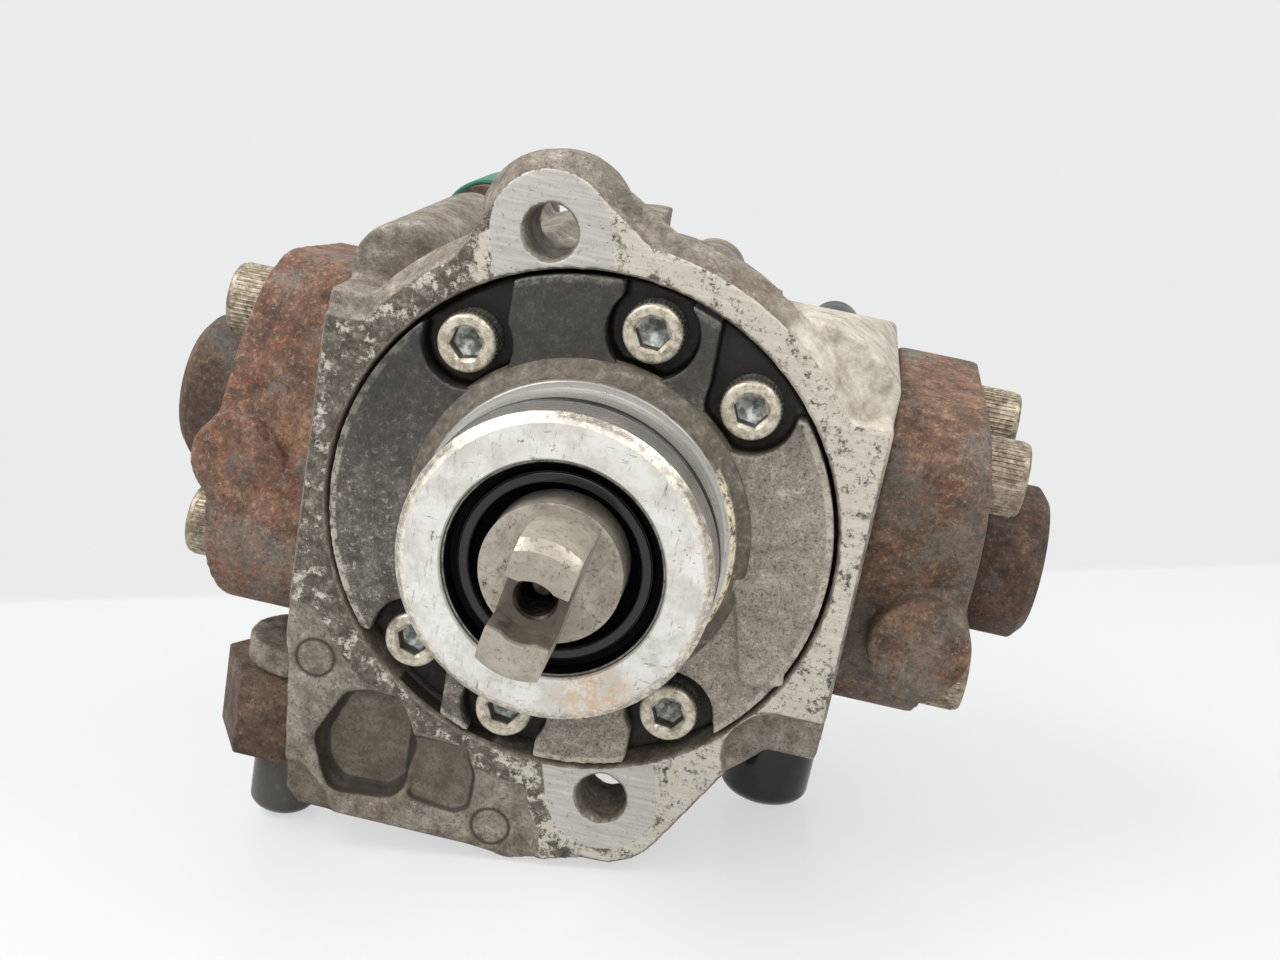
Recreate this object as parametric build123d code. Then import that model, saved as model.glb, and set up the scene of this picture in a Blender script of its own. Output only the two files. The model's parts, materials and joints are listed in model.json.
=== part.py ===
from build123d import *
from math import atan2, cos, hypot, pi, radians, sin
import os

# Two-plunger radial high-pressure diesel pump.
# Modelled upright: shaft along Y, drive end towards -Y, plungers along X.
# The origin is on the shaft axis in the plane of the mounting flange.

# Fits and gaps
RUN = 0.03          # running clearance, on the radius
SLIDE = 0.1         # clearance of parts that drop into a recess

# Shaft and tang
JOURNAL_R = 11.3
DISC_Y = -22.6
TANG_TIP_Y = -40.0
TANG_R = 11.1
TANG_WIDTH = 9.8
TANG_LEAN = 10.5
SLOT_FLOOR_Y = -33.5
SLOT_WIDTH = 8.4
SLOT_SCOOP_R = 5.0
PULLER_HOLE_R = 3.4
PULLER_HOLE_DEPTH = 14.0
REAR_JOURNAL_R = 9.0
DRIVE_R = 4.6
DRIVE_FLAT = 3.6

# Eccentric drive and orbiting ring
PLUNGER_Y = 35.0
ECCENTRICITY = 3.5
ECCENTRIC_R = 15.0
ECCENTRIC_WIDTH = 24.0
CHEEK_R = 13.0
RING_WIDTH = 22.0
RING_BUSH_R = 17.0
RING_R = 22.5
RING_FLAT = 19.0

# Front cover
COVER_R = 42.3
COVER_GAP = 0.7
COVER_FACE_Y = -0.5
COVER_FLOOR_Y = 5.0
COVER_BACK_Y = 12.0
HUB_R = 25.0
HUB_FRONT_Y = -21.5
HUB_FOOT_R = 27.5
HUB_FOOT_Y = -1.6
SEAL_BORE_R = 17.6
SEAL_BORE_DEPTH = 10.0
BUSH_R = 13.5
FRONT_BUSH_LENGTH = 22.0
SPIGOT_R = COVER_R - 12.3
SPIGOT_LENGTH = 6.0
PILOT_GROOVE_Y = -12.6
PILOT_GROOVE_R = 23.6
PILOT_GROOVE_WIDTH = 2.2

# Cover screws, M6 socket heads
M6_R = 3.0
M6_HEAD_R = 5.0
M6_HEAD = 6.0
M6_KEY = 5.0
M6_LENGTH = 18.0
SCREW_CIRCLE_R = COVER_R - 6.8
SCREW_ANGLES = (130.1, 79.4, 47.0, -53.8, -101.2, -133.2)
POCKET_R = 7.6

# Housing
BODY_R = COVER_R + 4.7
RIM_R = BODY_R + 4.0
RIM_WEB_R = BODY_R
FLANGE_THICK = 6.0
FLANGE_BOLT_R = 49.0
FLANGE_BOLT_ANGLE = 104.7
FLANGE_HOLE_R = 4.4
LUG_R = 12.6
LUG_THICK = 15.0
BODY_BACK_Y = 62.0
REAR_WALL_Y = 50.0
SIDE_X = BODY_R + 0.2
RIGHT_PAD_TOP = 39.5
RIGHT_PAD_BOTTOM = -33.0
LEFT_PAD_TOP = 31.5
LEFT_PAD_BOTTOM = -34.0
PAD_FRONT_Y = 2.0
BORE_R = 14.0
FOOT_Z = -63.0
FOOT_LEFT_X = -44.0

FOOT_POCKET = 3.0
FLAT_TOP = 27.5
FLAT_LEFT_BOTTOM = -31.0
FACE_WEB_R = 42.3
WEB_SETBACK = 3.4
RIM_SLOPE = 2.4
RIM_SLOPE_DEPTH = 4.6
FOOT_RELIEF = 0.8
FACE_RING_R = 48.5
NOTCH_R = 8.0
NOTCH_X = 39.5
NOTCH_DEPTH = 3.5
GALLERY_BACK_Y = 42.0
REAR_BUSH_R = 11.5
COVER_OPENINGS = ((-29.5, -16.8), (0.8, 11.8), (17.0, 40.0), (15.2, 29.0), (-12.2, -0.6), (-34.0, -17.8))

# Fittings and valves on the housing: centres in X and Z, or in X and Y for those that point down
VALVE_SPOT = (-38.5, 33.5)
VALVE_BOSS_R = 8.6
VALVE_BOSS_FRONT_Y = 12.0
VALVE_BORE_R = 6.5
VALVE_BORE_Y = 34.0
VALVE_SCREW_SPOT = (-27.5, 40.5)
VALVE_EAR_R = 4.6
VALVE_SCREW_R = 2.5
SENSOR_SPOT = (35.5, 30.0)
SENSOR_R = 5.0
SENSOR_BORE_Y = 50.0
INLET_SPOT = (-SIDE_X - 1.8, 18.5)
INLET_NECK_R = 9.6
INLET_SEAT_Z = -43.5
INLET_THREAD_R = 6.0
INLET_THREAD = 4.6
INLET_NECK_TOP_Z = -38.3
RETURN_SPOT = (40.5, 40.0)
RETURN_BOSS_R = 8.5
RETURN_THREAD_R = 5.0

# Cylinder heads
HEAD_THICK = 19.6
HEAD_CROWN = 4.4
HEAD_SPIGOT = 9.0
PLUNGER_R = 4.25
HEAD_SCREWS = ((-18.0, 19.5), (9.0, 22.0), (-9.5, -20.5), (18.0, -18.5))
M8_R = 4.0
M8_HEAD_R = 6.5
M8_HEAD = 8.0
M8_KEY = 6.0
M8_LENGTH = 30.0
HEAD_SEAT_X = SIDE_X + 15.8
RIGHT_BOSS_Z = -11.0
LEFT_BOSS_Z = -4.5

# Head plugs
PLUG_R = 14.0
PLUG_END_X = SIDE_X + 32.1
PLUG_THREAD_R = 10.0
PLUG_SEAT_X = SIDE_X + 20.4
PLUG_THREAD = 7.0

# Feed pump: inner rotor with LOBES lobes inside an outer rotor with one more
LOBES = 4
GEAR_OFFSET = 1.8
PIN_CIRCLE_R = 15.0
PIN_R = 6.5
ROTOR_GAP = 0.06
ROTOR_R = 17.5
ROTOR_THICK = 8.0
PLATE_THICK = 4.0
FEED_R = 29.0
FEED_COVER_THICK = 16.0
FEED_SCREW_R = 36.0
FEED_LUG_R = 6.5
FEED_FLANGE = 6.0
FEED_DRUM_R = 24.0
FEED_SCREW_LENGTH = 20.0
FEED_SCREW_ANGLES = (75.0, 120.0, 219.0, 291.0, 3.0)

# Regulating valve in the feed cover, along X
REG_Y = 79.0
REG_Z = -21.0
REG_BOSS_R = 7.0
REG_PISTON_R = 3.5
REG_BORE_R = 3.55
REG_END_X = 19.0

os.makedirs("parts", exist_ok=True)


def round_y(radius, y0, y1, x=0.0, z=0.0):
    """Cylinder along Y from y0 to y1."""
    return Pos(x, y0, z) * Rot(-90, 0, 0) * Cylinder(
        radius, y1 - y0, align=(Align.CENTER, Align.CENTER, Align.MIN))


def round_x(radius, x0, x1, y=0.0, z=0.0):
    """Cylinder along X from x0 to x1."""
    return Pos(x0, y, z) * Rot(0, 90, 0) * Cylinder(
        radius, x1 - x0, align=(Align.CENTER, Align.CENTER, Align.MIN))


def round_z(radius, z0, z1, x=0.0, y=0.0):
    """Cylinder along Z from z0 to z1."""
    return Pos(x, y, z0) * Cylinder(
        radius, z1 - z0, align=(Align.CENTER, Align.CENTER, Align.MIN))


def block(x0, x1, y0, y1, z0, z1):
    """Box between two corners."""
    return Pos((x0 + x1) / 2, (y0 + y1) / 2, (z0 + z1) / 2) * Box(x1 - x0, y1 - y0, z1 - z0)


def spun_y(points):
    """Ring or cone turned about the Y axis from (radius, y) corners."""
    outline = make_face(Polyline(*[(r, y, 0) for r, y in points], close=True))
    return revolve(outline, Axis.Y)


def spun_x(points):
    """Ring or cone turned about the X axis from (x, radius) corners."""
    outline = make_face(Polyline(*[(x, r, 0) for x, r in points], close=True))
    return revolve(outline, Axis.X)


def tube_y(outer, inner, y0, y1, x=0.0, z=0.0):
    """Plain sleeve along Y."""
    return round_y(outer, y0, y1, x, z) - round_y(inner, y0, y1, x, z)


def front_prism(outline, y0, y1):
    """Outline drawn in X and Z, carried back along Y from y0 to y1."""
    return Plane.XZ.offset(-y1) * extrude(outline, y1 - y0)


def side_prism(outline, x0, x1):
    """Outline drawn in Y and Z, carried along X from x0 to x1."""
    return Plane.YZ.offset(x0) * extrude(outline, x1 - x0)


def at_angle(radius, angle):
    """Point in X and Z at a radius and an angle from +X towards +Z."""
    return radius * cos(radians(angle)), radius * sin(radians(angle))


def o_ring(radius, cord, y):
    """Seal ring about the Y axis, its cord eight-sided."""
    section = Pos(radius, y) * Rot(0, 0, 22.5) * RegularPolygon(cord, 8, major_radius=True)
    return revolve(section, Axis.Y)


def socket_screw(shank_r, head_r, head, key, length):
    """Socket screw along +Y with the underside of its head at y = 0."""
    screw = round_y(head_r, -head, 0) + round_y(shank_r, 0, length)
    top = screw.edges().filter_by(GeomType.CIRCLE).sort_by(Axis.Y)[0]
    screw = chamfer(top, 0.08 * head_r)
    socket = front_prism(RegularPolygon(key / 2, 6, major_radius=False), -head - 1, -head / 2)
    return screw - socket


def hexagon_z(across, z0, z1, x, y):
    """Hexagon along Z."""
    return Pos(x, y, z0) * extrude(RegularPolygon(across / 2, 6, major_radius=False), z1 - z0)


def coil(radius, wire_r, length, turns):
    """Compression spring along +X from x = 0, ends inside its length."""
    path = Helix((length - 2 * wire_r) / turns, length - 2 * wire_r, radius)
    start = Plane(origin=path @ 0, z_dir=path % 0)
    wire = sweep(start * RegularPolygon(wire_r, 6), path=path, is_frenet=True)
    return Pos(wire_r, 0, 0) * Rot(0, 90, 0) * wire


def hexagon_y(across, y0, y1, x=0.0, z=0.0):
    """Hexagon along Y."""
    return front_prism(Pos(x, z) * RegularPolygon(across / 2, 6, major_radius=False), y0, y1)


def hexagon_x(across, x0, x1, y, z):
    """Hexagon along X."""
    return side_prism(Pos(y, z) * RegularPolygon(across / 2, 6, major_radius=False), x0, x1)


def hull_of(*circles):
    """Face round a set of (radius, x, z) circles."""
    rings = [Pos(x, z) * Circle(radius) for radius, x, z in circles]
    return make_hull([edge for ring in rings for edge in ring.edges()])


parts = {}

# ---------------------------------------------------------------- housing

top_bolt = at_angle(FLANGE_BOLT_R, FLANGE_BOLT_ANGLE)
low_bolt = at_angle(FLANGE_BOLT_R, FLANGE_BOLT_ANGLE + 180)
RECESS_R = COVER_R + COVER_GAP
SCREW_SPOTS = [at_angle(SCREW_CIRCLE_R, angle) for angle in SCREW_ANGLES]


def degrees_of(x, z):
    """Angle of a point from +X towards +Z."""
    return atan2(z, x) * 180 / pi


def rim_web(bolt):
    """Web that runs from a lug to the rim on its right-hand side."""
    web = hull_of((LUG_R, *bolt), (RIM_WEB_R, 0, 0))
    half = Rot(0, 0, degrees_of(*bolt)) * Pos(60, -60 if bolt[1] > 0 else 60) * Rectangle(120, 120)
    return web & half


def sloped_disc(radius, x, z):
    """Disc as thick as the flange whose front edge slopes back."""
    return Pos(x, 0, z) * spun_y((
        (0, 0), (radius - RIM_SLOPE, 0), (radius, RIM_SLOPE_DEPTH), (radius, FLANGE_THICK), (0, FLANGE_THICK)))


def flat_front():
    """Flat front of the flange beside the ring, the foot and the lower lug."""
    right = Pos(SIDE_X / 2, (FLAT_TOP + RIGHT_PAD_BOTTOM) / 2) * Rectangle(SIDE_X, FLAT_TOP - RIGHT_PAD_BOTTOM)
    left = Pos(-SIDE_X / 2, (FLAT_TOP + FLAT_LEFT_BOTTOM) / 2) * Rectangle(SIDE_X, FLAT_TOP - FLAT_LEFT_BOTTOM)
    foot = make_face(Polyline(
        (12, -59.6), (-2, FOOT_Z - 0.9), (-9, FOOT_Z), (FOOT_LEFT_X + 2.5, FOOT_Z),
        (FOOT_LEFT_X, FOOT_Z + 2.5), (-46.8, -29), (0, -20), close=True))
    lug = Pos(*low_bolt) * Circle(LUG_R)
    return right + left + foot + lug + rim_web(low_bolt)


def foot_relief():
    """Cast part of the foot's face, set back from the machined ring."""
    area = Pos(-26, -46) * Rectangle(60, 44)
    return area - Circle(FACE_RING_R) - Pos(*low_bolt) * Circle(LUG_R + 0.6) - Pos(20, -46) * Rectangle(34, 60)


def make_flange():
    """Flange plate with sloped outer edges, a relieved foot and a notch over the return fitting."""
    flange = front_prism(flat_front(), 0, FLANGE_THICK)
    ring = sloped_disc(RIM_R, 0, 0)
    flange += ring & block(-SIDE_X, SIDE_X, -1, FLANGE_THICK + 1, -2 * RIM_R, 2 * RIM_R)
    flange += sloped_disc(LUG_R, *top_bolt)
    face_web = hull_of((LUG_R - RIM_SLOPE, *top_bolt), (FACE_WEB_R, 0, 0))
    flange += front_prism(face_web, 0, FLANGE_THICK)
    flange += front_prism(rim_web(top_bolt), WEB_SETBACK, FLANGE_THICK)
    flange -= front_prism(foot_relief(), -1, FOOT_RELIEF)
    notch = hull_of((NOTCH_R, NOTCH_X, RIGHT_PAD_BOTTOM), (NOTCH_R, SIDE_X + NOTCH_R, RIGHT_PAD_BOTTOM))
    return flange - front_prism(notch, -1, NOTCH_DEPTH)


def make_housing():
    """Die-cast housing: flange, barrel, head pads, valve boss and bores."""
    body = make_flange()
    body += round_y(BODY_R, FLANGE_THICK, BODY_BACK_Y)
    body += round_y(LUG_R - 0.6, FLANGE_THICK, LUG_THICK, *top_bolt)
    body += round_y(LUG_R - 0.6, FLANGE_THICK, LUG_THICK, *low_bolt)
    shoulder = hull_of((9, 35, RIGHT_PAD_TOP - 6.2), (2, SIDE_X - 2, RIGHT_PAD_TOP - 2.4),
                       (1.5, SIDE_X - 1.5, RIGHT_PAD_BOTTOM + 1.5), (8, 28, -20))
    body += front_prism(shoulder, PAD_FRONT_Y + 4, BODY_BACK_Y)
    cheek = hull_of((1.5, 1.5 - SIDE_X, LEFT_PAD_TOP - 1.5), (1.5, 1.5 - SIDE_X, LEFT_PAD_BOTTOM + 1.5),
                    (8, -30, 22), (8, -28, -24))
    body += front_prism(cheek, PAD_FRONT_Y, BODY_BACK_Y)
    body += round_y(VALVE_BOSS_R, VALVE_BOSS_FRONT_Y, BODY_BACK_Y, *VALVE_SPOT)
    body += front_prism(hull_of((7, VALVE_SPOT[0] + 3, VALVE_SPOT[1] - 3), (12, -20, 22)),
                        VALVE_BOSS_FRONT_Y + 4, BODY_BACK_Y)
    gallery = hull_of((5, -29, -50), (5, 4, -51), (10, 0, -30), (10, -26, -30))
    body += front_prism(gallery, FLANGE_THICK, GALLERY_BACK_Y)
    x, y = INLET_SPOT
    body += round_z(INLET_NECK_R, INLET_SEAT_Z, INLET_NECK_TOP_Z, x, y)
    body += block(x, -25, y - 8, y + 8, INLET_SEAT_Z, INLET_NECK_TOP_Z)
    body += block(-SIDE_X + 0.4, -25, y - 8, y + 8, INLET_SEAT_Z, -25)
    return_boss = round_z(RETURN_BOSS_R, RIGHT_PAD_BOTTOM - 5, RIGHT_PAD_BOTTOM + 10, *RETURN_SPOT)
    body += return_boss & block(0, SIDE_X - 0.1, 0, BODY_BACK_Y, -60, 0)
    body += round_y(VALVE_EAR_R, BODY_BACK_Y - 14, BODY_BACK_Y, *VALVE_SCREW_SPOT)

    body -= round_y(RECESS_R, -1, COVER_BACK_Y)
    body -= round_y(SPIGOT_R, COVER_BACK_Y - 1, REAR_WALL_Y)
    body -= round_y(REAR_BUSH_R, REAR_WALL_Y - 1, BODY_BACK_Y + 1)
    body -= round_x(BORE_R, -SIDE_X - 1, SIDE_X + 1, PLUNGER_Y)
    for spot in SCREW_SPOTS:
        body -= round_y(M6_R, COVER_BACK_Y - 1, COVER_FLOOR_Y + M6_LENGTH + 2, *spot)
    for spot in (top_bolt, low_bolt):
        body -= round_y(FLANGE_HOLE_R, -1, BODY_BACK_Y, *spot)
    for angle in FEED_SCREW_ANGLES:
        body -= round_y(M6_R, BODY_BACK_Y - 11, BODY_BACK_Y + 1, *at_angle(FEED_SCREW_R, angle))
    for side in (1, -1):
        for y, z in HEAD_SCREWS:
            hole = (side * (HEAD_SEAT_X - M8_LENGTH - 1), side * SIDE_X)
            body -= round_x(M8_R, min(hole), max(hole), PLUNGER_Y + y, side * z)
    body -= round_y(VALVE_BORE_R, VALVE_BORE_Y, BODY_BACK_Y + 1, *VALVE_SPOT)
    body -= round_y(VALVE_SCREW_R, BODY_BACK_Y - 9, BODY_BACK_Y + 1, *VALVE_SCREW_SPOT)
    body -= round_y(SENSOR_R, SENSOR_BORE_Y, BODY_BACK_Y + 1, *SENSOR_SPOT)
    body -= round_z(INLET_THREAD_R, INLET_SEAT_Z - 1, INLET_SEAT_Z + INLET_THREAD, *INLET_SPOT)
    body -= round_z(RETURN_THREAD_R, RIGHT_PAD_BOTTOM - 6, RIGHT_PAD_BOTTOM + 8, *RETURN_SPOT)
    return body - foot_pockets()


def foot_pockets():
    """Shallow cast pockets in the front of the foot block."""
    deep = hull_of((3, -33, -42), (3, -27, -40.5), (3, -24.5, -47), (3, -26, -54.5),
                   (3, -34, -55.5), (3, -36.5, -49))
    island = hull_of((2, -31, -43), (2, -27.5, -42.5), (2, -26, -47), (2, -27.5, -52),
                     (2, -32, -52.5), (2, -33.5, -48))
    shallow = hull_of((1.5, -20.5, -45), (1.5, -12.5, -45.5), (1.5, -12, -54), (1.5, -19.5, -55))
    return (front_prism(deep, -1, FOOT_POCKET) - front_prism(island, -2, FOOT_POCKET)
            + front_prism(island, -1, 0.8) + front_prism(shallow, -1, FOOT_POCKET / 2))


# -------------------------------------------------------------- front cover


def cover_pocket(spot, low_x, high_x):
    """Recess round one cover screw, open to the rim."""
    x, z = spot
    outward = 1 if z > 0 else -1
    opening = Pos((low_x + high_x) / 2, z + outward * COVER_R / 2) * Rectangle(high_x - low_x, COVER_R)
    return Pos(x, z) * Circle(POCKET_R) + opening


def make_cover():
    """Front cover: plate with screw pockets, pilot hub, seal bore and bush bore."""
    plate = Circle(COVER_R)
    for spot, (low_x, high_x) in zip(SCREW_SPOTS, COVER_OPENINGS):
        plate -= cover_pocket(spot, low_x, high_x)
    plate += Circle(HUB_FOOT_R + 1.5)
    body = round_y(COVER_R, COVER_FLOOR_Y, COVER_BACK_Y)
    body += front_prism(plate, COVER_FACE_Y, COVER_FLOOR_Y)
    body += spun_y(((BUSH_R, HUB_FRONT_Y), (HUB_R - 1.4, HUB_FRONT_Y), (HUB_R, HUB_FRONT_Y + 1.1),
                    (HUB_R, PILOT_GROOVE_Y - PILOT_GROOVE_WIDTH / 2),
                    (PILOT_GROOVE_R, PILOT_GROOVE_Y - PILOT_GROOVE_WIDTH / 2),
                    (PILOT_GROOVE_R, PILOT_GROOVE_Y + PILOT_GROOVE_WIDTH / 2),
                    (HUB_R, PILOT_GROOVE_Y + PILOT_GROOVE_WIDTH / 2),
                    (HUB_R, HUB_FOOT_Y - 1.2), (HUB_FOOT_R, HUB_FOOT_Y), (HUB_FOOT_R, COVER_BACK_Y),
                    (BUSH_R, COVER_BACK_Y)))
    body += spun_y(((BUSH_R, COVER_BACK_Y - 1), (SPIGOT_R - SLIDE, COVER_BACK_Y - 1),
                    (SPIGOT_R - SLIDE, COVER_BACK_Y + 1.5), (SPIGOT_R - 2.2, COVER_BACK_Y + 1.5),
                    (SPIGOT_R - 2.2, COVER_BACK_Y + 4.1), (SPIGOT_R - SLIDE, COVER_BACK_Y + 4.1),
                    (SPIGOT_R - SLIDE, COVER_BACK_Y + SPIGOT_LENGTH),
                    (BUSH_R, COVER_BACK_Y + SPIGOT_LENGTH)))
    body -= round_y(BUSH_R, HUB_FRONT_Y - 1, COVER_BACK_Y + SPIGOT_LENGTH + 1)
    body -= round_y(SEAL_BORE_R, HUB_FRONT_Y - 1, HUB_FRONT_Y + SEAL_BORE_DEPTH)
    for spot in SCREW_SPOTS:
        body -= round_y(M6_R + 0.3, COVER_FLOOR_Y - 1, COVER_BACK_Y + 1, *spot)
    cast_pad = Pos(33.8, 9.6) * Rot(0, 0, 10) * RectangleRounded(5.6, 9.0, 1.0)
    scraped_pad = Pos(33.0, -10.6) * Rot(0, 0, 14) * RectangleRounded(7.4, 19.0, 0.8)
    body += front_prism(cast_pad, COVER_FACE_Y - 0.5, COVER_FLOOR_Y)
    body += front_prism(scraped_pad, COVER_FACE_Y - 0.9, COVER_FLOOR_Y)
    return body


# -------------------------------------------------- screws, seals and bushes


def place_all(screw, y, spots):
    """Copies of one screw that face along +Y, each at its own spot."""
    return Compound([Pos(x, y, z) * screw for x, z in spots])


cover_screw = socket_screw(M6_R, M6_HEAD_R, M6_HEAD, M6_KEY, M6_LENGTH)
feed_screw = socket_screw(M6_R, M6_HEAD_R, M6_HEAD, M6_KEY, FEED_SCREW_LENGTH)
head_screw = socket_screw(M8_R, M8_HEAD_R, M8_HEAD, M8_KEY, M8_LENGTH)
feed_screw_spots = [at_angle(FEED_SCREW_R, angle) for angle in FEED_SCREW_ANGLES]
cover_seal = o_ring(SPIGOT_R - 1.1, 1.1, COVER_BACK_Y + 2.8)
pilot_seal = o_ring((HUB_R + PILOT_GROOVE_R) / 2 + 0.1, 0.75, PILOT_GROOVE_Y)
seal_back_y = HUB_FRONT_Y + SEAL_BORE_DEPTH
seal_case = spun_y(((15.2, seal_back_y), (15.2, HUB_FRONT_Y + 1.2), (15.9, HUB_FRONT_Y + 0.5),
                    (SEAL_BORE_R, HUB_FRONT_Y + 0.5), (SEAL_BORE_R, seal_back_y)))
seal_lip = spun_y(((15.2, seal_back_y), (15.2, HUB_FRONT_Y + 2.0), (13.4, HUB_FRONT_Y + 2.0),
                   (13.0, HUB_FRONT_Y + 4.5), (JOURNAL_R + RUN, HUB_FRONT_Y + 4.0),
                   (JOURNAL_R + RUN, HUB_FRONT_Y + 6.5), (13.0, HUB_FRONT_Y + 7.5), (13.6, seal_back_y)))
bush_back_y = COVER_BACK_Y + SPIGOT_LENGTH - 2
front_bush = tube_y(BUSH_R, JOURNAL_R + RUN, bush_back_y - FRONT_BUSH_LENGTH, bush_back_y)
rear_bush = tube_y(REAR_BUSH_R, REAR_JOURNAL_R + RUN, REAR_WALL_Y, BODY_BACK_Y)

# -------------------------------------------------------------- drive shaft


def make_shaft():
    """Shaft with its tang, eccentric and the flat that drives the feed pump."""
    shaft = round_y(JOURNAL_R, DISC_Y, ECCENTRIC_START_Y - 3)
    shaft += round_y(CHEEK_R, ECCENTRIC_START_Y - 3, ECCENTRIC_START_Y)
    shaft += round_y(ECCENTRIC_R, ECCENTRIC_START_Y, ECCENTRIC_START_Y + ECCENTRIC_WIDTH, 0, ECCENTRICITY)
    shaft += round_y(REAR_JOURNAL_R, ECCENTRIC_START_Y + ECCENTRIC_WIDTH, BODY_BACK_Y + PLATE_THICK)
    drive = round_y(DRIVE_R, BODY_BACK_Y, DRIVE_END_Y)
    shaft += drive & block(-DRIVE_R, DRIVE_R, BODY_BACK_Y, DRIVE_END_Y, -DRIVE_FLAT, DRIVE_FLAT)
    tang = spun_y(((0, DISC_Y + 1), (TANG_R, DISC_Y + 1), (TANG_R, TANG_TIP_Y + 1.6),
                   (TANG_R - 1.6, TANG_TIP_Y), (0, TANG_TIP_Y)))
    half = TANG_WIDTH / 2
    tang &= block(-half, half, TANG_TIP_Y, DISC_Y + 1, -JOURNAL_R, JOURNAL_R)
    tang -= block(-half - 1, half + 1, TANG_TIP_Y - 1, SLOT_FLOOR_Y, -SLOT_WIDTH / 2, SLOT_WIDTH / 2)
    tang -= round_y(SLOT_SCOOP_R, TANG_TIP_Y - 1, SLOT_FLOOR_Y)
    shaft += Rot(0, TANG_LEAN, 0) * tang
    shaft -= round_y(PULLER_HOLE_R, SLOT_FLOOR_Y - 1, SLOT_FLOOR_Y + PULLER_HOLE_DEPTH)
    return shaft


def make_cam_ring():
    """Ring with two flats that the plungers stand on."""
    y0 = PLUNGER_Y - RING_WIDTH / 2
    ring = round_y(RING_R, y0, y0 + RING_WIDTH)
    ring &= block(-RING_FLAT, RING_FLAT, y0, y0 + RING_WIDTH, -RING_R, RING_R)
    ring -= round_y(RING_BUSH_R, y0 - 1, y0 + RING_WIDTH + 1)
    return Pos(0, 0, ECCENTRICITY) * ring


ECCENTRIC_START_Y = PLUNGER_Y - ECCENTRIC_WIDTH / 2
DRIVE_END_Y = BODY_BACK_Y + PLATE_THICK + ROTOR_THICK - 0.2
ring_front_y = PLUNGER_Y - RING_WIDTH / 2
cam_bush = tube_y(RING_BUSH_R, ECCENTRIC_R + RUN, ring_front_y, ring_front_y + RING_WIDTH, 0, ECCENTRICITY)

# ---------------------------------------------------------- cylinder heads


def outline_of(*corners):
    """Face round corners given as (radius, u, v)."""
    return hull_of(*corners)


def make_head(boss_z, boss_reach):
    """Right-hand cylinder head with the fuel gallery boss at boss_z."""
    body = side_prism(outline_of((5, 6, 31.5), (8, 55, 31.5), (8, 62, -28), (9, 15, -28)),
                      SIDE_X, SIDE_X + HEAD_THICK)
    body &= Pos(SIDE_X + HEAD_THICK - HEAD_CROWN_R, 0, 0) * Rot(0, 180, 0) * round_y(HEAD_CROWN_R, -10, 80)
    body += round_y(8.5, 8, PLUNGER_Y, boss_reach - 8.5, boss_z)
    body += round_x(COLLAR_R, SIDE_X + 8, COLLAR_X, PLUNGER_Y)
    body += round_y(OUTLET_BOSS_R, PLUNGER_Y + 20, OUTLET_SEAT_Y, OUTLET_X)
    body += round_x(BORE_R - SLIDE, SIDE_X - HEAD_SPIGOT, SIDE_X + 1, PLUNGER_Y)
    groove = tube_y(BORE_R + 1, BORE_R - 2.1, 0, 2.6)
    body -= Pos(SIDE_X - 3.7, PLUNGER_Y, 0) * Rot(0, 0, -90) * groove
    body -= round_x(PLUNGER_R + RUN, SIDE_X - HEAD_SPIGOT - 1, SEAT_X + 1, PLUNGER_Y)
    body -= round_x(SEAT_R, SEAT_X, SEAT_X + SEAT_THICK + 1, PLUNGER_Y)
    body -= round_x(PLUG_THREAD_R, SEAT_X + SEAT_THICK, COLLAR_X + 1, PLUNGER_Y)
    body -= round_x(PLUG_R + 0.1, COLLAR_X, COLLAR_X + 20, PLUNGER_Y)
    for y, z in HEAD_SCREWS:
        body -= round_x(M8_R + 0.3, SIDE_X - 1, HEAD_SEAT_X + 1, PLUNGER_Y + y, z)
        body -= round_x(M8_HEAD_R + 0.8, HEAD_SEAT_X, COLLAR_X + 20, PLUNGER_Y + y, z)
    body -= round_y(OUTLET_DRILL_R, PLUNGER_Y, OUTLET_FLOOR_Y + 1, OUTLET_X)
    body -= round_y(OUTLET_THREAD_R, OUTLET_FLOOR_Y, 80, OUTLET_X)
    return body


def make_plug():
    """Blind plug over the suction valve."""
    plug = spun_x(((SEAT_X + SEAT_THICK, 0), (SEAT_X + SEAT_THICK, PLUG_THREAD_R), (COLLAR_X, PLUG_THREAD_R),
                   (COLLAR_X, PLUG_R), (PLUG_END_X - 2, PLUG_R), (PLUG_END_X, PLUG_R - 2.3),
                   (PLUG_END_X, 0)))
    plug -= round_x(PLUG_BORE_R, SEAT_X + SEAT_THICK - 1, SEAT_X + SEAT_THICK + 8)
    return Pos(0, PLUNGER_Y, 0) * plug


def make_outlet():
    """Screwed high-pressure outlet with the delivery valve's spring pocket."""
    y = OUTLET_FLOOR_Y + 1
    union = spun_y(((0, y), (OUTLET_THREAD_R, y), (OUTLET_THREAD_R, OUTLET_SEAT_Y), (7, OUTLET_SEAT_Y),
                    (7, OUTLET_END_Y - 1), (6, OUTLET_END_Y), (0, OUTLET_END_Y)))
    union += hexagon_y(OUTLET_ACROSS, OUTLET_SEAT_Y, OUTLET_SEAT_Y + 6)
    union -= round_y(BALL_R + 0.3, y - 1, OUTLET_SPRING_END_Y)
    union -= round_y(1.5, y, OUTLET_END_Y + 1)
    union -= spun_y(((0, OUTLET_END_Y + 1), (5.6, OUTLET_END_Y + 1), (4.6, OUTLET_END_Y), (0, OUTLET_END_Y - 5)))
    return Pos(OUTLET_X, 0, 0) * union


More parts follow.
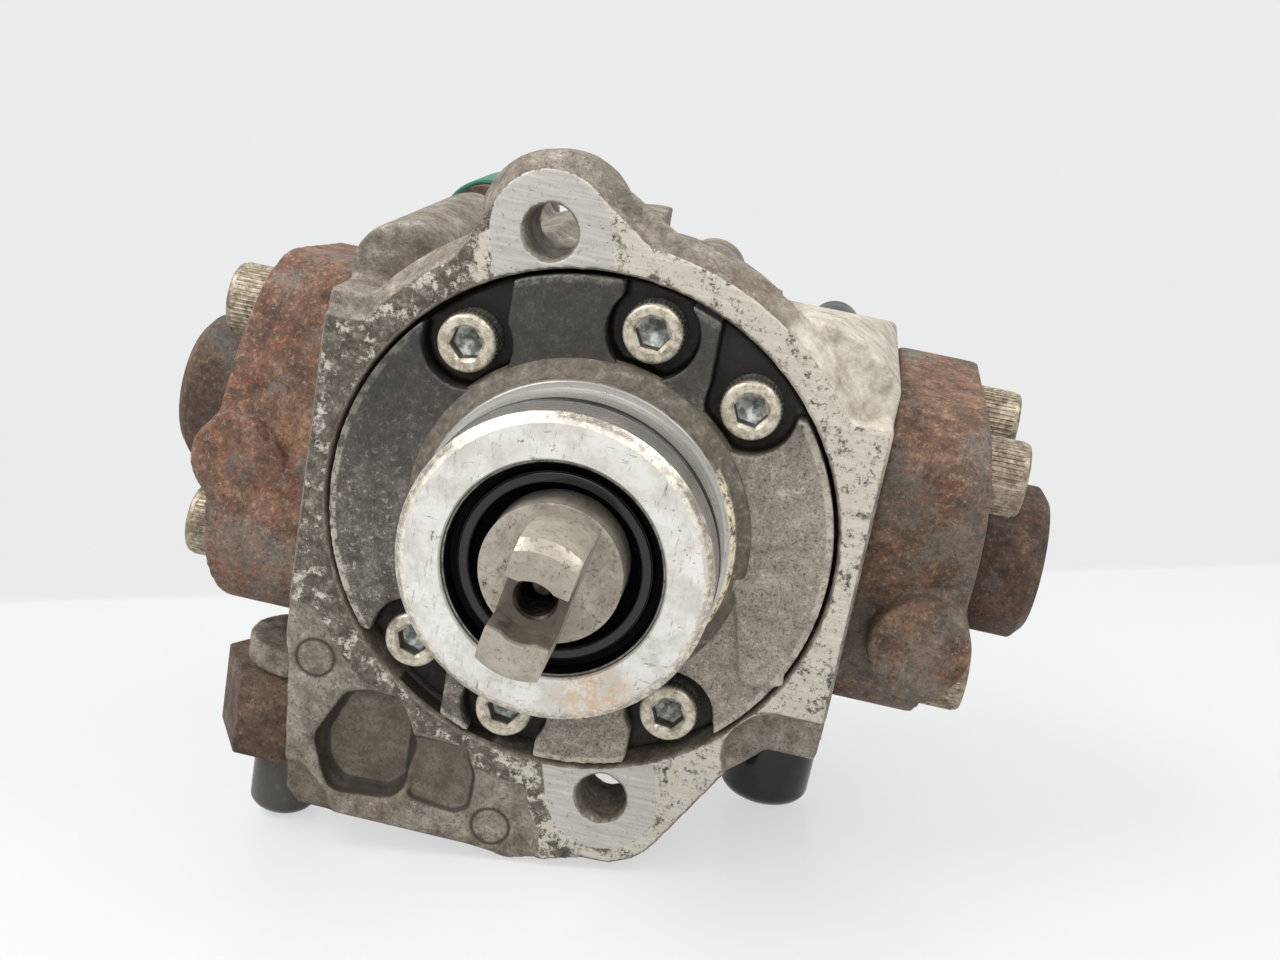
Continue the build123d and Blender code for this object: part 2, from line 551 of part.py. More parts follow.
def make_suction_seat():
    """Seat plate of the suction valve with its four fuel holes."""
    seat = round_x(SEAT_R, SEAT_X, SEAT_X + SEAT_THICK)
    seat -= round_x(STEM_R + RUN, SEAT_X - 1, SEAT_X + SEAT_THICK + 1)
    for turn in range(4):
        hole = round_x(0.7, SEAT_X - 1, SEAT_X + SEAT_THICK + 1, 2.6)
        seat -= Rot(turn * 90, 0, 0) * hole
    return Pos(0, PLUNGER_Y, 0) * seat


def make_suction_valve():
    """Mushroom valve with the collar that holds its spring."""
    return Pos(0, PLUNGER_Y, 0) * spun_x((
        (SEAT_X - 1, 0), (SEAT_X - 1, 3.6), (SEAT_X, 3.6), (SEAT_X, STEM_R), (STEM_COLLAR_X, STEM_R),
        (STEM_COLLAR_X, 3.2), (STEM_COLLAR_X + 1, 3.2), (STEM_COLLAR_X + 1, 0)))


HEAD_CROWN_R = 109.0
COLLAR_R = 15.8
COLLAR_X = PLUG_SEAT_X + 0.4
SEAT_X = SIDE_X + 10.8
SEAT_R = 8.0
SEAT_THICK = 4.0
STEM_R = 1.5
STEM_COLLAR_X = SEAT_X + 9.0
PLUG_BORE_R = 4.5
OUTLET_X = SIDE_X + 9.6
OUTLET_DRILL_R = 0.9
OUTLET_THREAD_R = 6.0
OUTLET_FLOOR_Y = 53.0
OUTLET_SEAT_Y = 68.4
OUTLET_BOSS_R = 9.0
OUTLET_ACROSS = 17.0
OUTLET_END_Y = 84.5
OUTLET_SPRING_END_Y = 61.0
BALL_R = 2.5
BALL_Y = OUTLET_FLOOR_Y + (BALL_R ** 2 - OUTLET_DRILL_R ** 2) ** 0.5 + 0.02

head_screws = Compound([
    Pos(HEAD_SEAT_X, PLUNGER_Y + y, z) * Rot(0, 0, 90) * head_screw for y, z in HEAD_SCREWS])
head_ring = Pos(SIDE_X - 2.4, PLUNGER_Y, 0) * Rot(0, 0, 90) * o_ring(BORE_R - 1.05, 1.0, 0)

# Plungers: foot on the ring at the outer end of the stroke
FOOT_X = RING_FLAT + ECCENTRICITY + 0.05
FOOT_THICK = 2.0
PLUNGER_TIP_X = SEAT_X - 2.5
SPRING_SEAT_R = 10.5
SPRING_SEAT_THICK = 2.0
PLUNGER_SPRING_R = 8.2
PLUNGER_WIRE_R = 1.2
seat_out_x = FOOT_X + FOOT_THICK + SPRING_SEAT_THICK
plunger = round_x(PLUNGER_R, FOOT_X, PLUNGER_TIP_X, PLUNGER_Y) + round_x(7, FOOT_X, FOOT_X + FOOT_THICK, PLUNGER_Y)
spring_seat = (round_x(SPRING_SEAT_R, seat_out_x - SPRING_SEAT_THICK, seat_out_x, PLUNGER_Y)
               - round_x(PLUNGER_R + RUN, FOOT_X, seat_out_x + 1, PLUNGER_Y))
plunger_spring = Pos(seat_out_x, PLUNGER_Y, 0) * coil(
    PLUNGER_SPRING_R, PLUNGER_WIRE_R, SIDE_X - HEAD_SPIGOT - seat_out_x, 3)
suction_spring = Pos(SEAT_X + SEAT_THICK, PLUNGER_Y, 0) * coil(
    2.5, 0.35, STEM_COLLAR_X - SEAT_X - SEAT_THICK, 5)
ball_top_y = BALL_Y + BALL_R
delivery_ball = Pos(OUTLET_X, BALL_Y, 0) * Sphere(BALL_R)
delivery_spring = Pos(OUTLET_X, ball_top_y, 0) * Rot(0, 0, 90) * coil(
    1.9, 0.35, OUTLET_SPRING_END_Y - ball_top_y, 4)

# --------------------------------------------------------------- feed pump


def inner_rotor_point(turn):
    """Point of the inner rotor's outline, rolled out by the pins of the outer rotor."""
    teeth = LOBES + 1
    pin = PIN_R + ROTOR_GAP
    lean = -atan2(sin(LOBES * turn), PIN_CIRCLE_R / (GEAR_OFFSET * teeth) - cos(LOBES * turn))
    return (PIN_CIRCLE_R * cos(turn) - pin * cos(turn + lean) - GEAR_OFFSET * cos(teeth * turn),
            -PIN_CIRCLE_R * sin(turn) + pin * sin(turn + lean) + GEAR_OFFSET * sin(teeth * turn))


def make_inner_rotor():
    """Inner rotor with its two-flat drive hole."""
    steps = LOBES * 16
    outline = make_face(Spline([inner_rotor_point(2 * pi * i / steps) for i in range(steps)], periodic=True))
    hole = Circle(DRIVE_R + RUN) & Rectangle(4 * DRIVE_R, 2 * (DRIVE_FLAT + RUN))
    return front_prism(outline - hole, ROTOR_Y, ROTOR_Y + ROTOR_THICK)


def make_outer_rotor():
    """Outer rotor: a ring whose pockets are cut between round lobes."""
    cavity = Circle(PIN_CIRCLE_R - GEAR_OFFSET - 1.05)
    for i in range(LOBES + 1):
        x, z = at_angle(PIN_CIRCLE_R, 360 * i / (LOBES + 1))
        cavity -= Pos(x, z) * Circle(PIN_R)
    return Pos(-GEAR_OFFSET, 0, 0) * front_prism(Circle(ROTOR_R) - cavity, ROTOR_Y, ROTOR_Y + ROTOR_THICK)


def feed_outline():
    """Round cover outline with a lug for each screw."""
    lugs = [Pos(x, z) * Circle(FEED_LUG_R) for x, z in feed_screw_spots]
    arms = [Rot(0, 0, angle) * Pos(FEED_SCREW_R / 2, 0) * Rectangle(FEED_SCREW_R, 2 * FEED_LUG_R)
            for angle in FEED_SCREW_ANGLES]
    outline = Circle(FEED_R)
    for piece in lugs + arms:
        outline += piece
    for x, z in feed_screw_spots:
        outline -= Pos(x, z) * Circle(M6_R + 0.3)
    return outline


def make_feed_cover():
    """Cover of the feed pump with the rotor pocket and the regulating valve's boss."""
    face_y = ROTOR_Y + FEED_FLANGE
    back_y = ROTOR_Y + FEED_COVER_THICK
    cover = front_prism(feed_outline(), ROTOR_Y, face_y)
    cover += spun_y(((0, face_y - 1), (FEED_DRUM_R, face_y - 1), (FEED_DRUM_R, back_y - 2),
                     (FEED_DRUM_R - 2, back_y), (0, back_y)))
    cover += round_x(REG_BOSS_R, -REG_END_X + 2, REG_END_X, REG_Y, REG_Z)
    cover -= round_y(ROTOR_R + RUN, ROTOR_Y - 1, ROTOR_Y + ROTOR_THICK + 0.05, -GEAR_OFFSET, 0)
    cover -= round_y(DRIVE_R + 1, ROTOR_Y, DRIVE_END_Y + 1)
    cover -= round_x(REG_BORE_R, -REG_END_X + 5, REG_END_X + 1, REG_Y, REG_Z)
    cover -= round_x(REG_BORE_R + 1.2, REG_END_X - 6, REG_END_X + 1, REG_Y, REG_Z)
    return cover


ROTOR_Y = BODY_BACK_Y + PLATE_THICK
plate = front_prism(feed_outline() - Circle(REAR_JOURNAL_R + SLIDE), BODY_BACK_Y, ROTOR_Y)
reg_plug = (round_x(REG_BORE_R + 1.2, REG_END_X - 6, REG_END_X, REG_Y, REG_Z)
            + hexagon_x(12, REG_END_X, REG_END_X + 5, REG_Y, REG_Z))
REG_PISTON_X = -REG_END_X + 6
REG_PISTON_LENGTH = 10.0
reg_piston = (round_x(REG_PISTON_R, REG_PISTON_X, REG_PISTON_X + REG_PISTON_LENGTH, REG_Y, REG_Z)
              - round_x(2.4, REG_PISTON_X + 3, REG_PISTON_X + 11, REG_Y, REG_Z))
reg_spring = Pos(REG_PISTON_X + 3, REG_Y, REG_Z) * coil(
    1.9, 0.4, REG_END_X - 6 - REG_PISTON_X - 3, 7)

# ------------------------------------------------- control valve and sensor

VALVE_FLANGE_Y = BODY_BACK_Y
VALVE_SLEEVE_R = 6.5
VALVE_FOOT_R = 8.4
VALVE_FOOT_THICK = 9.5
VALVE_CAN_R = 11.0
VALVE_EAR_Y = VALVE_FLANGE_Y + 4.4
VALVE_END_Y = 92.0
SPOOL_R = 3.0
SPOOL_Y = 37.0
SPOOL_LENGTH = 22.0
vx, vz = VALVE_SPOT


def make_control_valve():
    """Control valve: sleeve in the housing, flange with one ear and solenoid can."""
    can_y = VALVE_FLANGE_Y + VALVE_FOOT_THICK
    body = round_y(VALVE_SLEEVE_R, VALVE_BORE_Y + 1, VALVE_FLANGE_Y + 1, vx, vz)
    ear = hull_of((VALVE_EAR_R, vx + 2, vz + 1), (VALVE_EAR_R, *VALVE_SCREW_SPOT))
    body += front_prism(ear, VALVE_FLANGE_Y, VALVE_EAR_Y)
    body += round_y(VALVE_FOOT_R, VALVE_FLANGE_Y, can_y + 1, vx, vz)
    body += round_y(VALVE_CAN_R, can_y, VALVE_END_Y, vx, vz)
    body -= round_y(4.8, VALVE_EAR_Y, can_y + 1, *VALVE_SCREW_SPOT)
    body -= round_y(SPOOL_R + 0.05, VALVE_BORE_Y, SPOOL_Y + SPOOL_LENGTH + 8, vx, vz)
    body -= round_y(VALVE_SCREW_R + 0.3, VALVE_FLANGE_Y - 1, VALVE_FLANGE_Y + 6, *VALVE_SCREW_SPOT)
    groove = tube_y(VALVE_SLEEVE_R + 1, VALVE_SLEEVE_R - 1.4, 55, 57.4, vx, vz)
    return body - groove


def make_valve_connector():
    """Plastic cap of the solenoid with the plug socket that points back and up."""
    start = VALVE_FLANGE_Y + VALVE_FOOT_THICK + 4
    shell = round_y(VALVE_CAN_R + 1.2, start, VALVE_END_Y + 2, vx, vz)
    shell -= round_y(VALVE_CAN_R, start - 1, VALVE_END_Y, vx, vz)
    socket = front_prism(Pos(vx, vz) * RectangleRounded(17, 13, 3), VALVE_END_Y + 1, VALVE_END_Y + 18)
    socket -= front_prism(Pos(vx, vz) * RectangleRounded(14, 10, 2), VALVE_END_Y + 6, VALVE_END_Y + 19)
    for side in (-3, 3):
        socket += block(vx + side - 0.4, vx + side + 0.4, VALVE_END_Y + 5, VALVE_END_Y + 12, vz - 1.2, vz + 1.2)
    return shell + socket


valve_screw = socket_screw(VALVE_SCREW_R, 4.25, 5, 4, 12)
valve_ring = Pos(vx, 0, vz) * o_ring(VALVE_SLEEVE_R - 0.7, 0.7, 56.2)
spool = round_y(SPOOL_R, SPOOL_Y, SPOOL_Y + SPOOL_LENGTH, vx, vz) - tube_y(
    SPOOL_R + 1, SPOOL_R - 0.8, SPOOL_Y + 6, SPOOL_Y + 10, vx, vz)
spool_spring = Pos(vx, SPOOL_Y + SPOOL_LENGTH, vz) * Rot(0, 0, 90) * coil(2.2, 0.4, 8, 5)
sx, sz = SENSOR_SPOT
sensor = round_y(SENSOR_R, SENSOR_BORE_Y + 1, BODY_BACK_Y, sx, sz) + hexagon_y(15, BODY_BACK_Y, 68, sx, sz)
sensor_socket = (round_y(7, 68, 84, sx, sz) - round_y(5.4, 76, 85, sx, sz)
                 + block(sx - 2.2, sx + 2.2, 75, 79, sz - 0.4, sz + 0.4))

# -------------------------------------------------------- fuel connections

ix, iy = INLET_SPOT
INLET_HEX_END_Z = -59.0
INLET_END_Z = -74.5
inlet_union = round_z(INLET_THREAD_R, INLET_SEAT_Z, INLET_SEAT_Z + INLET_THREAD - 1, ix, iy)
inlet_union += hexagon_z(24, INLET_HEX_END_Z, INLET_SEAT_Z, ix, iy)
inlet_union += round_z(4.6, INLET_END_Z + 4, INLET_HEX_END_Z, ix, iy)
inlet_union -= round_z(3.0, INLET_END_Z, INLET_SEAT_Z + INLET_THREAD, ix, iy)
inlet_filter = round_z(2.9, INLET_HEX_END_Z, INLET_SEAT_Z + 4, ix, iy)
inlet_filter -= round_z(2.2, INLET_HEX_END_Z + 1, INLET_SEAT_Z + 5, ix, iy)
inlet_cap = round_z(6.2, INLET_END_Z + 3, INLET_HEX_END_Z, ix, iy)
inlet_cap += Pos(ix, iy, INLET_END_Z + 3) * scale(Sphere(6.2), (1, 1, 0.5))
inlet_cap -= round_z(4.6, INLET_END_Z + 4, INLET_HEX_END_Z + 1, ix, iy)
rx, ry = RETURN_SPOT
RETURN_SEAT_Z = RIGHT_PAD_BOTTOM - 5
RETURN_END_Z = -60.2
return_union = round_z(RETURN_THREAD_R, RETURN_SEAT_Z, RIGHT_PAD_BOTTOM + 6, rx, ry)
return_union += hexagon_z(16, RETURN_SEAT_Z - 8, RETURN_SEAT_Z, rx, ry)
return_union += round_z(5.0, RETURN_END_Z + 2, RETURN_SEAT_Z - 8, rx, ry)
return_union -= round_z(2.8, RETURN_END_Z, RIGHT_PAD_BOTTOM + 7, rx, ry)
return_cap = round_z(8.7, RETURN_END_Z + 4, RETURN_SEAT_Z - 8, rx, ry)
return_cap += Pos(rx, ry, RETURN_END_Z + 4) * scale(Sphere(8.7), (1, 1, 4 / 8.7))
return_cap -= round_z(5.0, RETURN_END_Z + 2, RETURN_SEAT_Z - 7, rx, ry)

# ------------------------------------------------------------------ parts

turn_over = Rot(0, 180, 0)
parts["pump_housing"] = make_housing()
parts["front_cover"] = make_cover()
parts["front_cover_screws"] = place_all(cover_screw, COVER_FLOOR_Y, SCREW_SPOTS)
parts["cover_seal_ring"] = cover_seal
parts["pilot_seal_ring"] = pilot_seal
parts["shaft_seal_case"] = seal_case
parts["shaft_seal_lip"] = seal_lip
parts["front_bush"] = front_bush
parts["rear_bush"] = rear_bush
parts["drive_shaft"] = make_shaft()
parts["cam_ring"] = make_cam_ring()
parts["cam_ring_bush"] = cam_bush
parts["right_head"] = make_head(RIGHT_BOSS_Z, SIDE_X + 21.8)
parts["left_head"] = turn_over * make_head(-LEFT_BOSS_Z, SIDE_X + 23.3)
both_sides = {
    "head_screws": head_screws, "head_plug": make_plug(), "head_seal_ring": head_ring,
    "outlet_union": make_outlet(), "suction_seat": make_suction_seat(),
    "suction_valve": make_suction_valve(), "suction_spring": suction_spring,
    "plunger": plunger, "spring_seat": spring_seat, "plunger_spring": plunger_spring,
    "delivery_ball": delivery_ball, "delivery_spring": delivery_spring}
for name, shape in both_sides.items():
    parts["right_" + name] = shape
    parts["left_" + name] = turn_over * shape
parts["feed_pump_plate"] = plate
parts["feed_pump_cover"] = make_feed_cover()
parts["feed_cover_screws"] = place_all(
    Rot(0, 0, 180) * feed_screw, ROTOR_Y + FEED_FLANGE, feed_screw_spots)
parts["feed_inner_rotor"] = make_inner_rotor()
parts["feed_outer_rotor"] = make_outer_rotor()
parts["regulating_plug"] = reg_plug
parts["regulating_piston"] = reg_piston
parts["regulating_spring"] = reg_spring
parts["control_valve_body"] = make_control_valve()
parts["control_valve_connector"] = make_valve_connector()
parts["control_valve_screw"] = place_all(
    Rot(0, 0, 180) * valve_screw, VALVE_EAR_Y, [VALVE_SCREW_SPOT])
parts["control_valve_seal_ring"] = valve_ring
parts["control_valve_spool"] = spool
parts["control_valve_spring"] = spool_spring
parts["temperature_sensor"] = sensor
parts["sensor_connector"] = sensor_socket
parts["inlet_union"] = inlet_union
parts["inlet_filter"] = inlet_filter
parts["inlet_cap"] = inlet_cap
parts["return_union"] = return_union
parts["return_cap"] = return_cap

for name in parts:
    export_step(parts[name], "parts/" + name + ".step")
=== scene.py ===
import json
import math

import bmesh
import bpy
import numpy as np
from mathutils import Matrix, Vector


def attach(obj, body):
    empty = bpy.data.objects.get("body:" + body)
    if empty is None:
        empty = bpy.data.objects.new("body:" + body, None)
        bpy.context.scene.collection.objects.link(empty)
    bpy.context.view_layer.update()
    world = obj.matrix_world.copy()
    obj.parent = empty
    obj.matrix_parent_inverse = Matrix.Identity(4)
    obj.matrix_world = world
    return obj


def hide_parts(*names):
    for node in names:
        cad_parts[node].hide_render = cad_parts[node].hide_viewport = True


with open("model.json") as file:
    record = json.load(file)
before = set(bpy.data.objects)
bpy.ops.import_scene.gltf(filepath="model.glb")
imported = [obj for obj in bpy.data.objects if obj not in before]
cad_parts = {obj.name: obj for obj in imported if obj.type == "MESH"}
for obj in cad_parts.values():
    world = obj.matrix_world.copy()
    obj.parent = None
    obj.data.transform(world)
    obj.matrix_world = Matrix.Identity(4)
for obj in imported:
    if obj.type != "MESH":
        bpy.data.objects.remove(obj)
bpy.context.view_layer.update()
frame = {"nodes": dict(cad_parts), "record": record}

MM = 0.001
X_AXIS, Y_AXIS = 0, 1

# ------------------------------------------------------------------ camera and stage
# The pump lies on a table on its flange foot and its two lower caps. LAY turns the table's upright directions into
# the pump's own axes. The camera's place and target and the three points that touch the table are in millimetres,
# the two ends of the table's back edge in pixels of the frame.

LAY = Matrix.Rotation(math.radians(-10.4), 4, "Y")
CAMERA_PLACE = Vector((45.7, -248.2, 80.8)) * MM
CAMERA_TARGET = Vector((10.63, 0.0, 8.88)) * MM
TABLE_POINTS = ((-2.0, 0.0, -63.9), (-49.0, 17.6, -74.4), (40.5, 38.0, -60.2))
FRAME_WIDTH, FRAME_HEIGHT = 1280, 960
LENS, SENSOR = 45.0, 36.0
TABLE_EDGE = ((0, 605), (1280, 567))

# ------------------------------------------------------------------ sizes, in millimetres unless told

BOLT_CIRCLE_R, BOLT_AIM, BOLT_PAD_R = 49.0, (-0.2538, 0.9673), 9.6
PIN_MARKS, PIN_MARK_R = ((-41.2, -33.8), (-5.9, -58.2)), 3.4
POCKET_TOP, POCKET_RIGHT, POCKET_DEPTH = -34.5, -8.5, 4.6
HUB_R, HUB_FRONT, HUB_FOOT = 25.0, -21.5, -4.6
GROOVE_FRONT, GROOVE_BACK, GROOVE_R = -13.7, -11.5, 23.6
SEAL_BORE_R, SEAL_BACK, SEAL_CASE_EDGE_R = 17.6, -11.5, 17.3
BUSH_BORE_R = 13.5
HUB_STAIN = (10.3, -19.5)
TANG_LEAN = 10.5  # degrees
SHARP_EDGE = 32  # degrees between faces from which an edge is shaded sharp


def tint(red, green, blue):
    """Linear colour from the 0 to 255 values of a paint chart."""
    return tuple(((c / 255 + 0.055) / 1.055) ** 2.4 if c > 10 else c / 3294.6 for c in (red, green, blue))


def make_camera():
    """Camera aimed at the pump from the drive end. Returns its matrix."""
    data = bpy.data.cameras.new("camera")
    data.sensor_width = SENSOR
    data.lens = LENS
    data.clip_start = 0.01
    data.clip_end = 20
    camera = bpy.data.objects.new("camera", data)
    bpy.context.collection.objects.link(camera)
    aim = (CAMERA_TARGET - CAMERA_PLACE).to_track_quat("-Z", "Y").to_matrix().to_4x4()
    camera.matrix_world = LAY @ Matrix.Translation(CAMERA_PLACE) @ aim
    bpy.context.scene.camera = camera
    return camera.matrix_world.copy()


def table_frame():
    """Matrix of the table: its Z is the table's normal, its origin lies under the pump."""
    a, b, c = (Vector(p) * MM for p in TABLE_POINTS)
    normal = (c - a).cross(b - a).normalized()
    if normal.z < 0:
        normal = -normal
    lowest = min(
        min((Vector(v.co) - a).dot(normal) for v in node.data.vertices) for node in frame["nodes"].values())
    back = (LAY @ Vector((0, 1, 0))).normalized()
    back = (back - normal * back.dot(normal)).normalized()
    right = back.cross(normal)
    place = Matrix((right, back, normal)).transposed().to_4x4()
    place.translation = a + normal * lowest
    return place


def on_table(camera, table, pixel):
    """Point of the table, in its own frame, behind one pixel of the camera's view."""
    across = (pixel[0] - FRAME_WIDTH / 2) / FRAME_WIDTH * SENSOR / LENS
    up = (FRAME_HEIGHT / 2 - pixel[1]) / FRAME_WIDTH * SENSOR / LENS
    to_table = table.inverted()
    start = to_table @ camera.translation
    ray = (to_table @ camera).to_3x3() @ Vector((across, up, -1))
    return start + ray * (-start.z / ray.z)


def mesh_object(name, vertices, faces):
    """Linked object of the given corners and faces."""
    mesh = bpy.data.meshes.new(name)
    mesh.from_pydata([tuple(v) for v in vertices], [], faces)
    mesh.update()
    piece = bpy.data.objects.new(name, mesh)
    bpy.context.collection.objects.link(piece)
    return piece


class Nodes:
    """Node tree with short ways to add, feed and sum up nodes."""

    def __init__(self, tree):
        self.nodes, self.links = tree.nodes, tree.links

    def feed(self, value, socket):
        """Links an output to a socket, or sets a number, a vector or a paint chart colour on it."""
        if isinstance(value, bpy.types.NodeSocket):
            self.links.new(value, socket)
        else:
            socket.default_value = (*tint(*value), 1) if socket.type == "RGBA" else value

    def add(self, kind, **inputs):
        """New node, its inputs fed by name with an underscore for each space."""
        node = self.nodes.new(kind if "Node" in kind else "ShaderNode" + kind)
        for name, value in inputs.items():
            self.feed(value, node.inputs[name.replace("_", " ")])
        return node

    def row(self, node, *values):
        """Feeds a node's inputs from the first on. Returns its first output."""
        for value, socket in zip(values, node.inputs):
            self.feed(value, socket)
        return node.outputs[0]

    def shaders(self, amount, first, second):
        """First shader where the amount is 0, second where it is 1."""
        return self.row(self.add("MixShader"), amount, first, second)

    def sums(self, kind, a, b=0.0):
        """One Math node."""
        node = self.add("Math")
        node.operation = kind
        return self.row(node, a, b)

    def plus(self, a, b):
        return self.sums("ADD", a, b)

    def less(self, a, b):
        return self.sums("SUBTRACT", a, b)

    def times(self, *factors):
        result = factors[0]
        for factor in factors[1:]:
            result = self.sums("MULTIPLY", result, factor)
        return result

    def most(self, a, b):
        return self.sums("MAXIMUM", a, b)

    def distance(self, a, b):
        """Length of the vector whose two parts are given."""
        return self.sums("SQRT", self.plus(self.times(a, a), self.times(b, b)))

    def ramp(self, value, *stops):
        """Colours at places along a value."""
        node = self.add("ValToRGB")
        points = node.color_ramp.elements
        while len(points) < len(stops):
            points.new(0.5)
        for point, (place, colour) in zip(points, stops):
            point.position = place
            point.color = (*tint(*colour), 1)
        return self.row(node, value)


def stage_material():
    """White table top that turns into a pale backdrop where the sheet curves up, clear from its back."""
    material = bpy.data.materials.new("paper_sweep")
    material.use_nodes = True
    material.node_tree.nodes.clear()
    t = Nodes(material.node_tree)
    shape = t.add("UVMap")
    shape.uv_map = "UVMap"
    up = t.add("SeparateXYZ", Vector=shape.outputs[0]).outputs["Y"]
    colour = t.ramp(up, (0.0, (250, 250, 250)), (0.27, (246, 247, 247)), (0.3015, (243, 244, 244)),
                    (0.306, (234, 235, 235)), (0.50, (235, 236, 235)), (1.0, (229, 231, 231)))
    share = t.add("MapRange", Value=up, From_Min=0.29, From_Max=0.306, To_Min=0.62, To_Max=1.0)
    body = t.add("BsdfPrincipled", Base_Color=(206, 207, 208), Roughness=0.28)
    glow = t.add("Emission", Color=colour)
    path = t.add("LightPath")
    seen = t.most(path.outputs["Is Camera Ray"], path.outputs["Is Glossy Ray"])
    front = t.shaders(t.times(seen, share.outputs["Result"]), body.outputs[0], glow.outputs[0])
    clear = t.add("BsdfTransparent")
    t.add("OutputMaterial", Surface=t.shaders(t.add("NewGeometry").outputs["Backfacing"], front, clear.outputs[0]))
    return material


def make_stage(camera):
    """Table top and backdrop as one curved sheet whose bend follows the table's back edge."""
    table = table_frame()
    left, right = (on_table(camera, table, pixel) for pixel in TABLE_EDGE)
    along = (right - left).normalized()
    away = Vector((-along.y, along.x, 0))
    middle = (left + right) / 2
    side, near, bend, height = 2.6, 1.3, 0.012, 1.7
    section = [(-near, 0.0), (0.0, 0.0)]
    section += [(bend * math.sin(t), bend * (1 - math.cos(t))) for t in np.linspace(0.15, math.pi / 2, 10)]
    section += [(bend, height)]
    marks = [0.0, 0.30] + list(np.linspace(0.303, 0.33, 10)) + [1.0]
    points = [table @ (middle + along * s + away * out_by + Vector((0, 0, up)))
              for out_by, up in section for s in (-side, side)]
    faces = [(2 * i, 2 * i + 1, 2 * i + 3, 2 * i + 2) for i in range(len(section) - 1)]
    sheet = mesh_object("paper_sweep", points, faces)
    layer = sheet.data.uv_layers.new(name="UVMap")
    for loop in sheet.data.loops:
        layer.data[loop.index].uv = (loop.vertex_index % 2, marks[loop.vertex_index // 2])
    sheet.data.polygons.foreach_set("use_smooth", [True] * len(sheet.data.polygons))
    sheet.data.materials.append(stage_material())
    return table


def add_lamp(table, name, place, aim, size, power):
    """Rectangular lamp, placed and aimed in the table's frame in metres."""
    data = bpy.data.lights.new(name, "AREA")
    data.shape = "RECTANGLE"
    data.size, data.size_y = size
    data.energy = power
    lamp = bpy.data.objects.new(name, data)
    bpy.context.collection.objects.link(lamp)
    place, aim = Vector(place), Vector(aim)
    turn = (aim - place).to_track_quat("-Z", "Y").to_matrix().to_4x4()
    lamp.matrix_world = table @ Matrix.Translation(place) @ turn


def light_scene(table):
    """Three soft lamps and a pale world that shows a flat colour to the camera."""
    add_lamp(table, "top_left_light", (-0.45, -0.25, 0.75), (0, 0, 0.05), (0.6, 0.5), 7.0)
    add_lamp(table, "top_right_light", (0.55, -0.15, 0.65), (0, 0, 0.05), (0.4, 0.5), 3.5)
    add_lamp(table, "front_light", (0.05, -0.9, 0.55), (0, 0, 0.06), (0.9, 0.5), 4.0)
    world = bpy.data.worlds.new("studio")
    world.use_nodes = True
    t = Nodes(world.node_tree)
    light = t.nodes["Background"]
    light.inputs["Color"].default_value = (0.93, 0.93, 0.92, 1)
    light.inputs["Strength"].default_value = 0.50
    seen = t.add("Background", Color=(234, 235, 235))
    pick = t.shaders(t.add("LightPath").outputs["Is Camera Ray"], light.outputs[0], seen.outputs[0])
    t.feed(pick, t.nodes["World Output"].inputs["Surface"])
    bpy.context.scene.world = world
    bpy.context.scene.view_settings.view_transform = "Standard"


# ------------------------------------------------------------------ material helpers


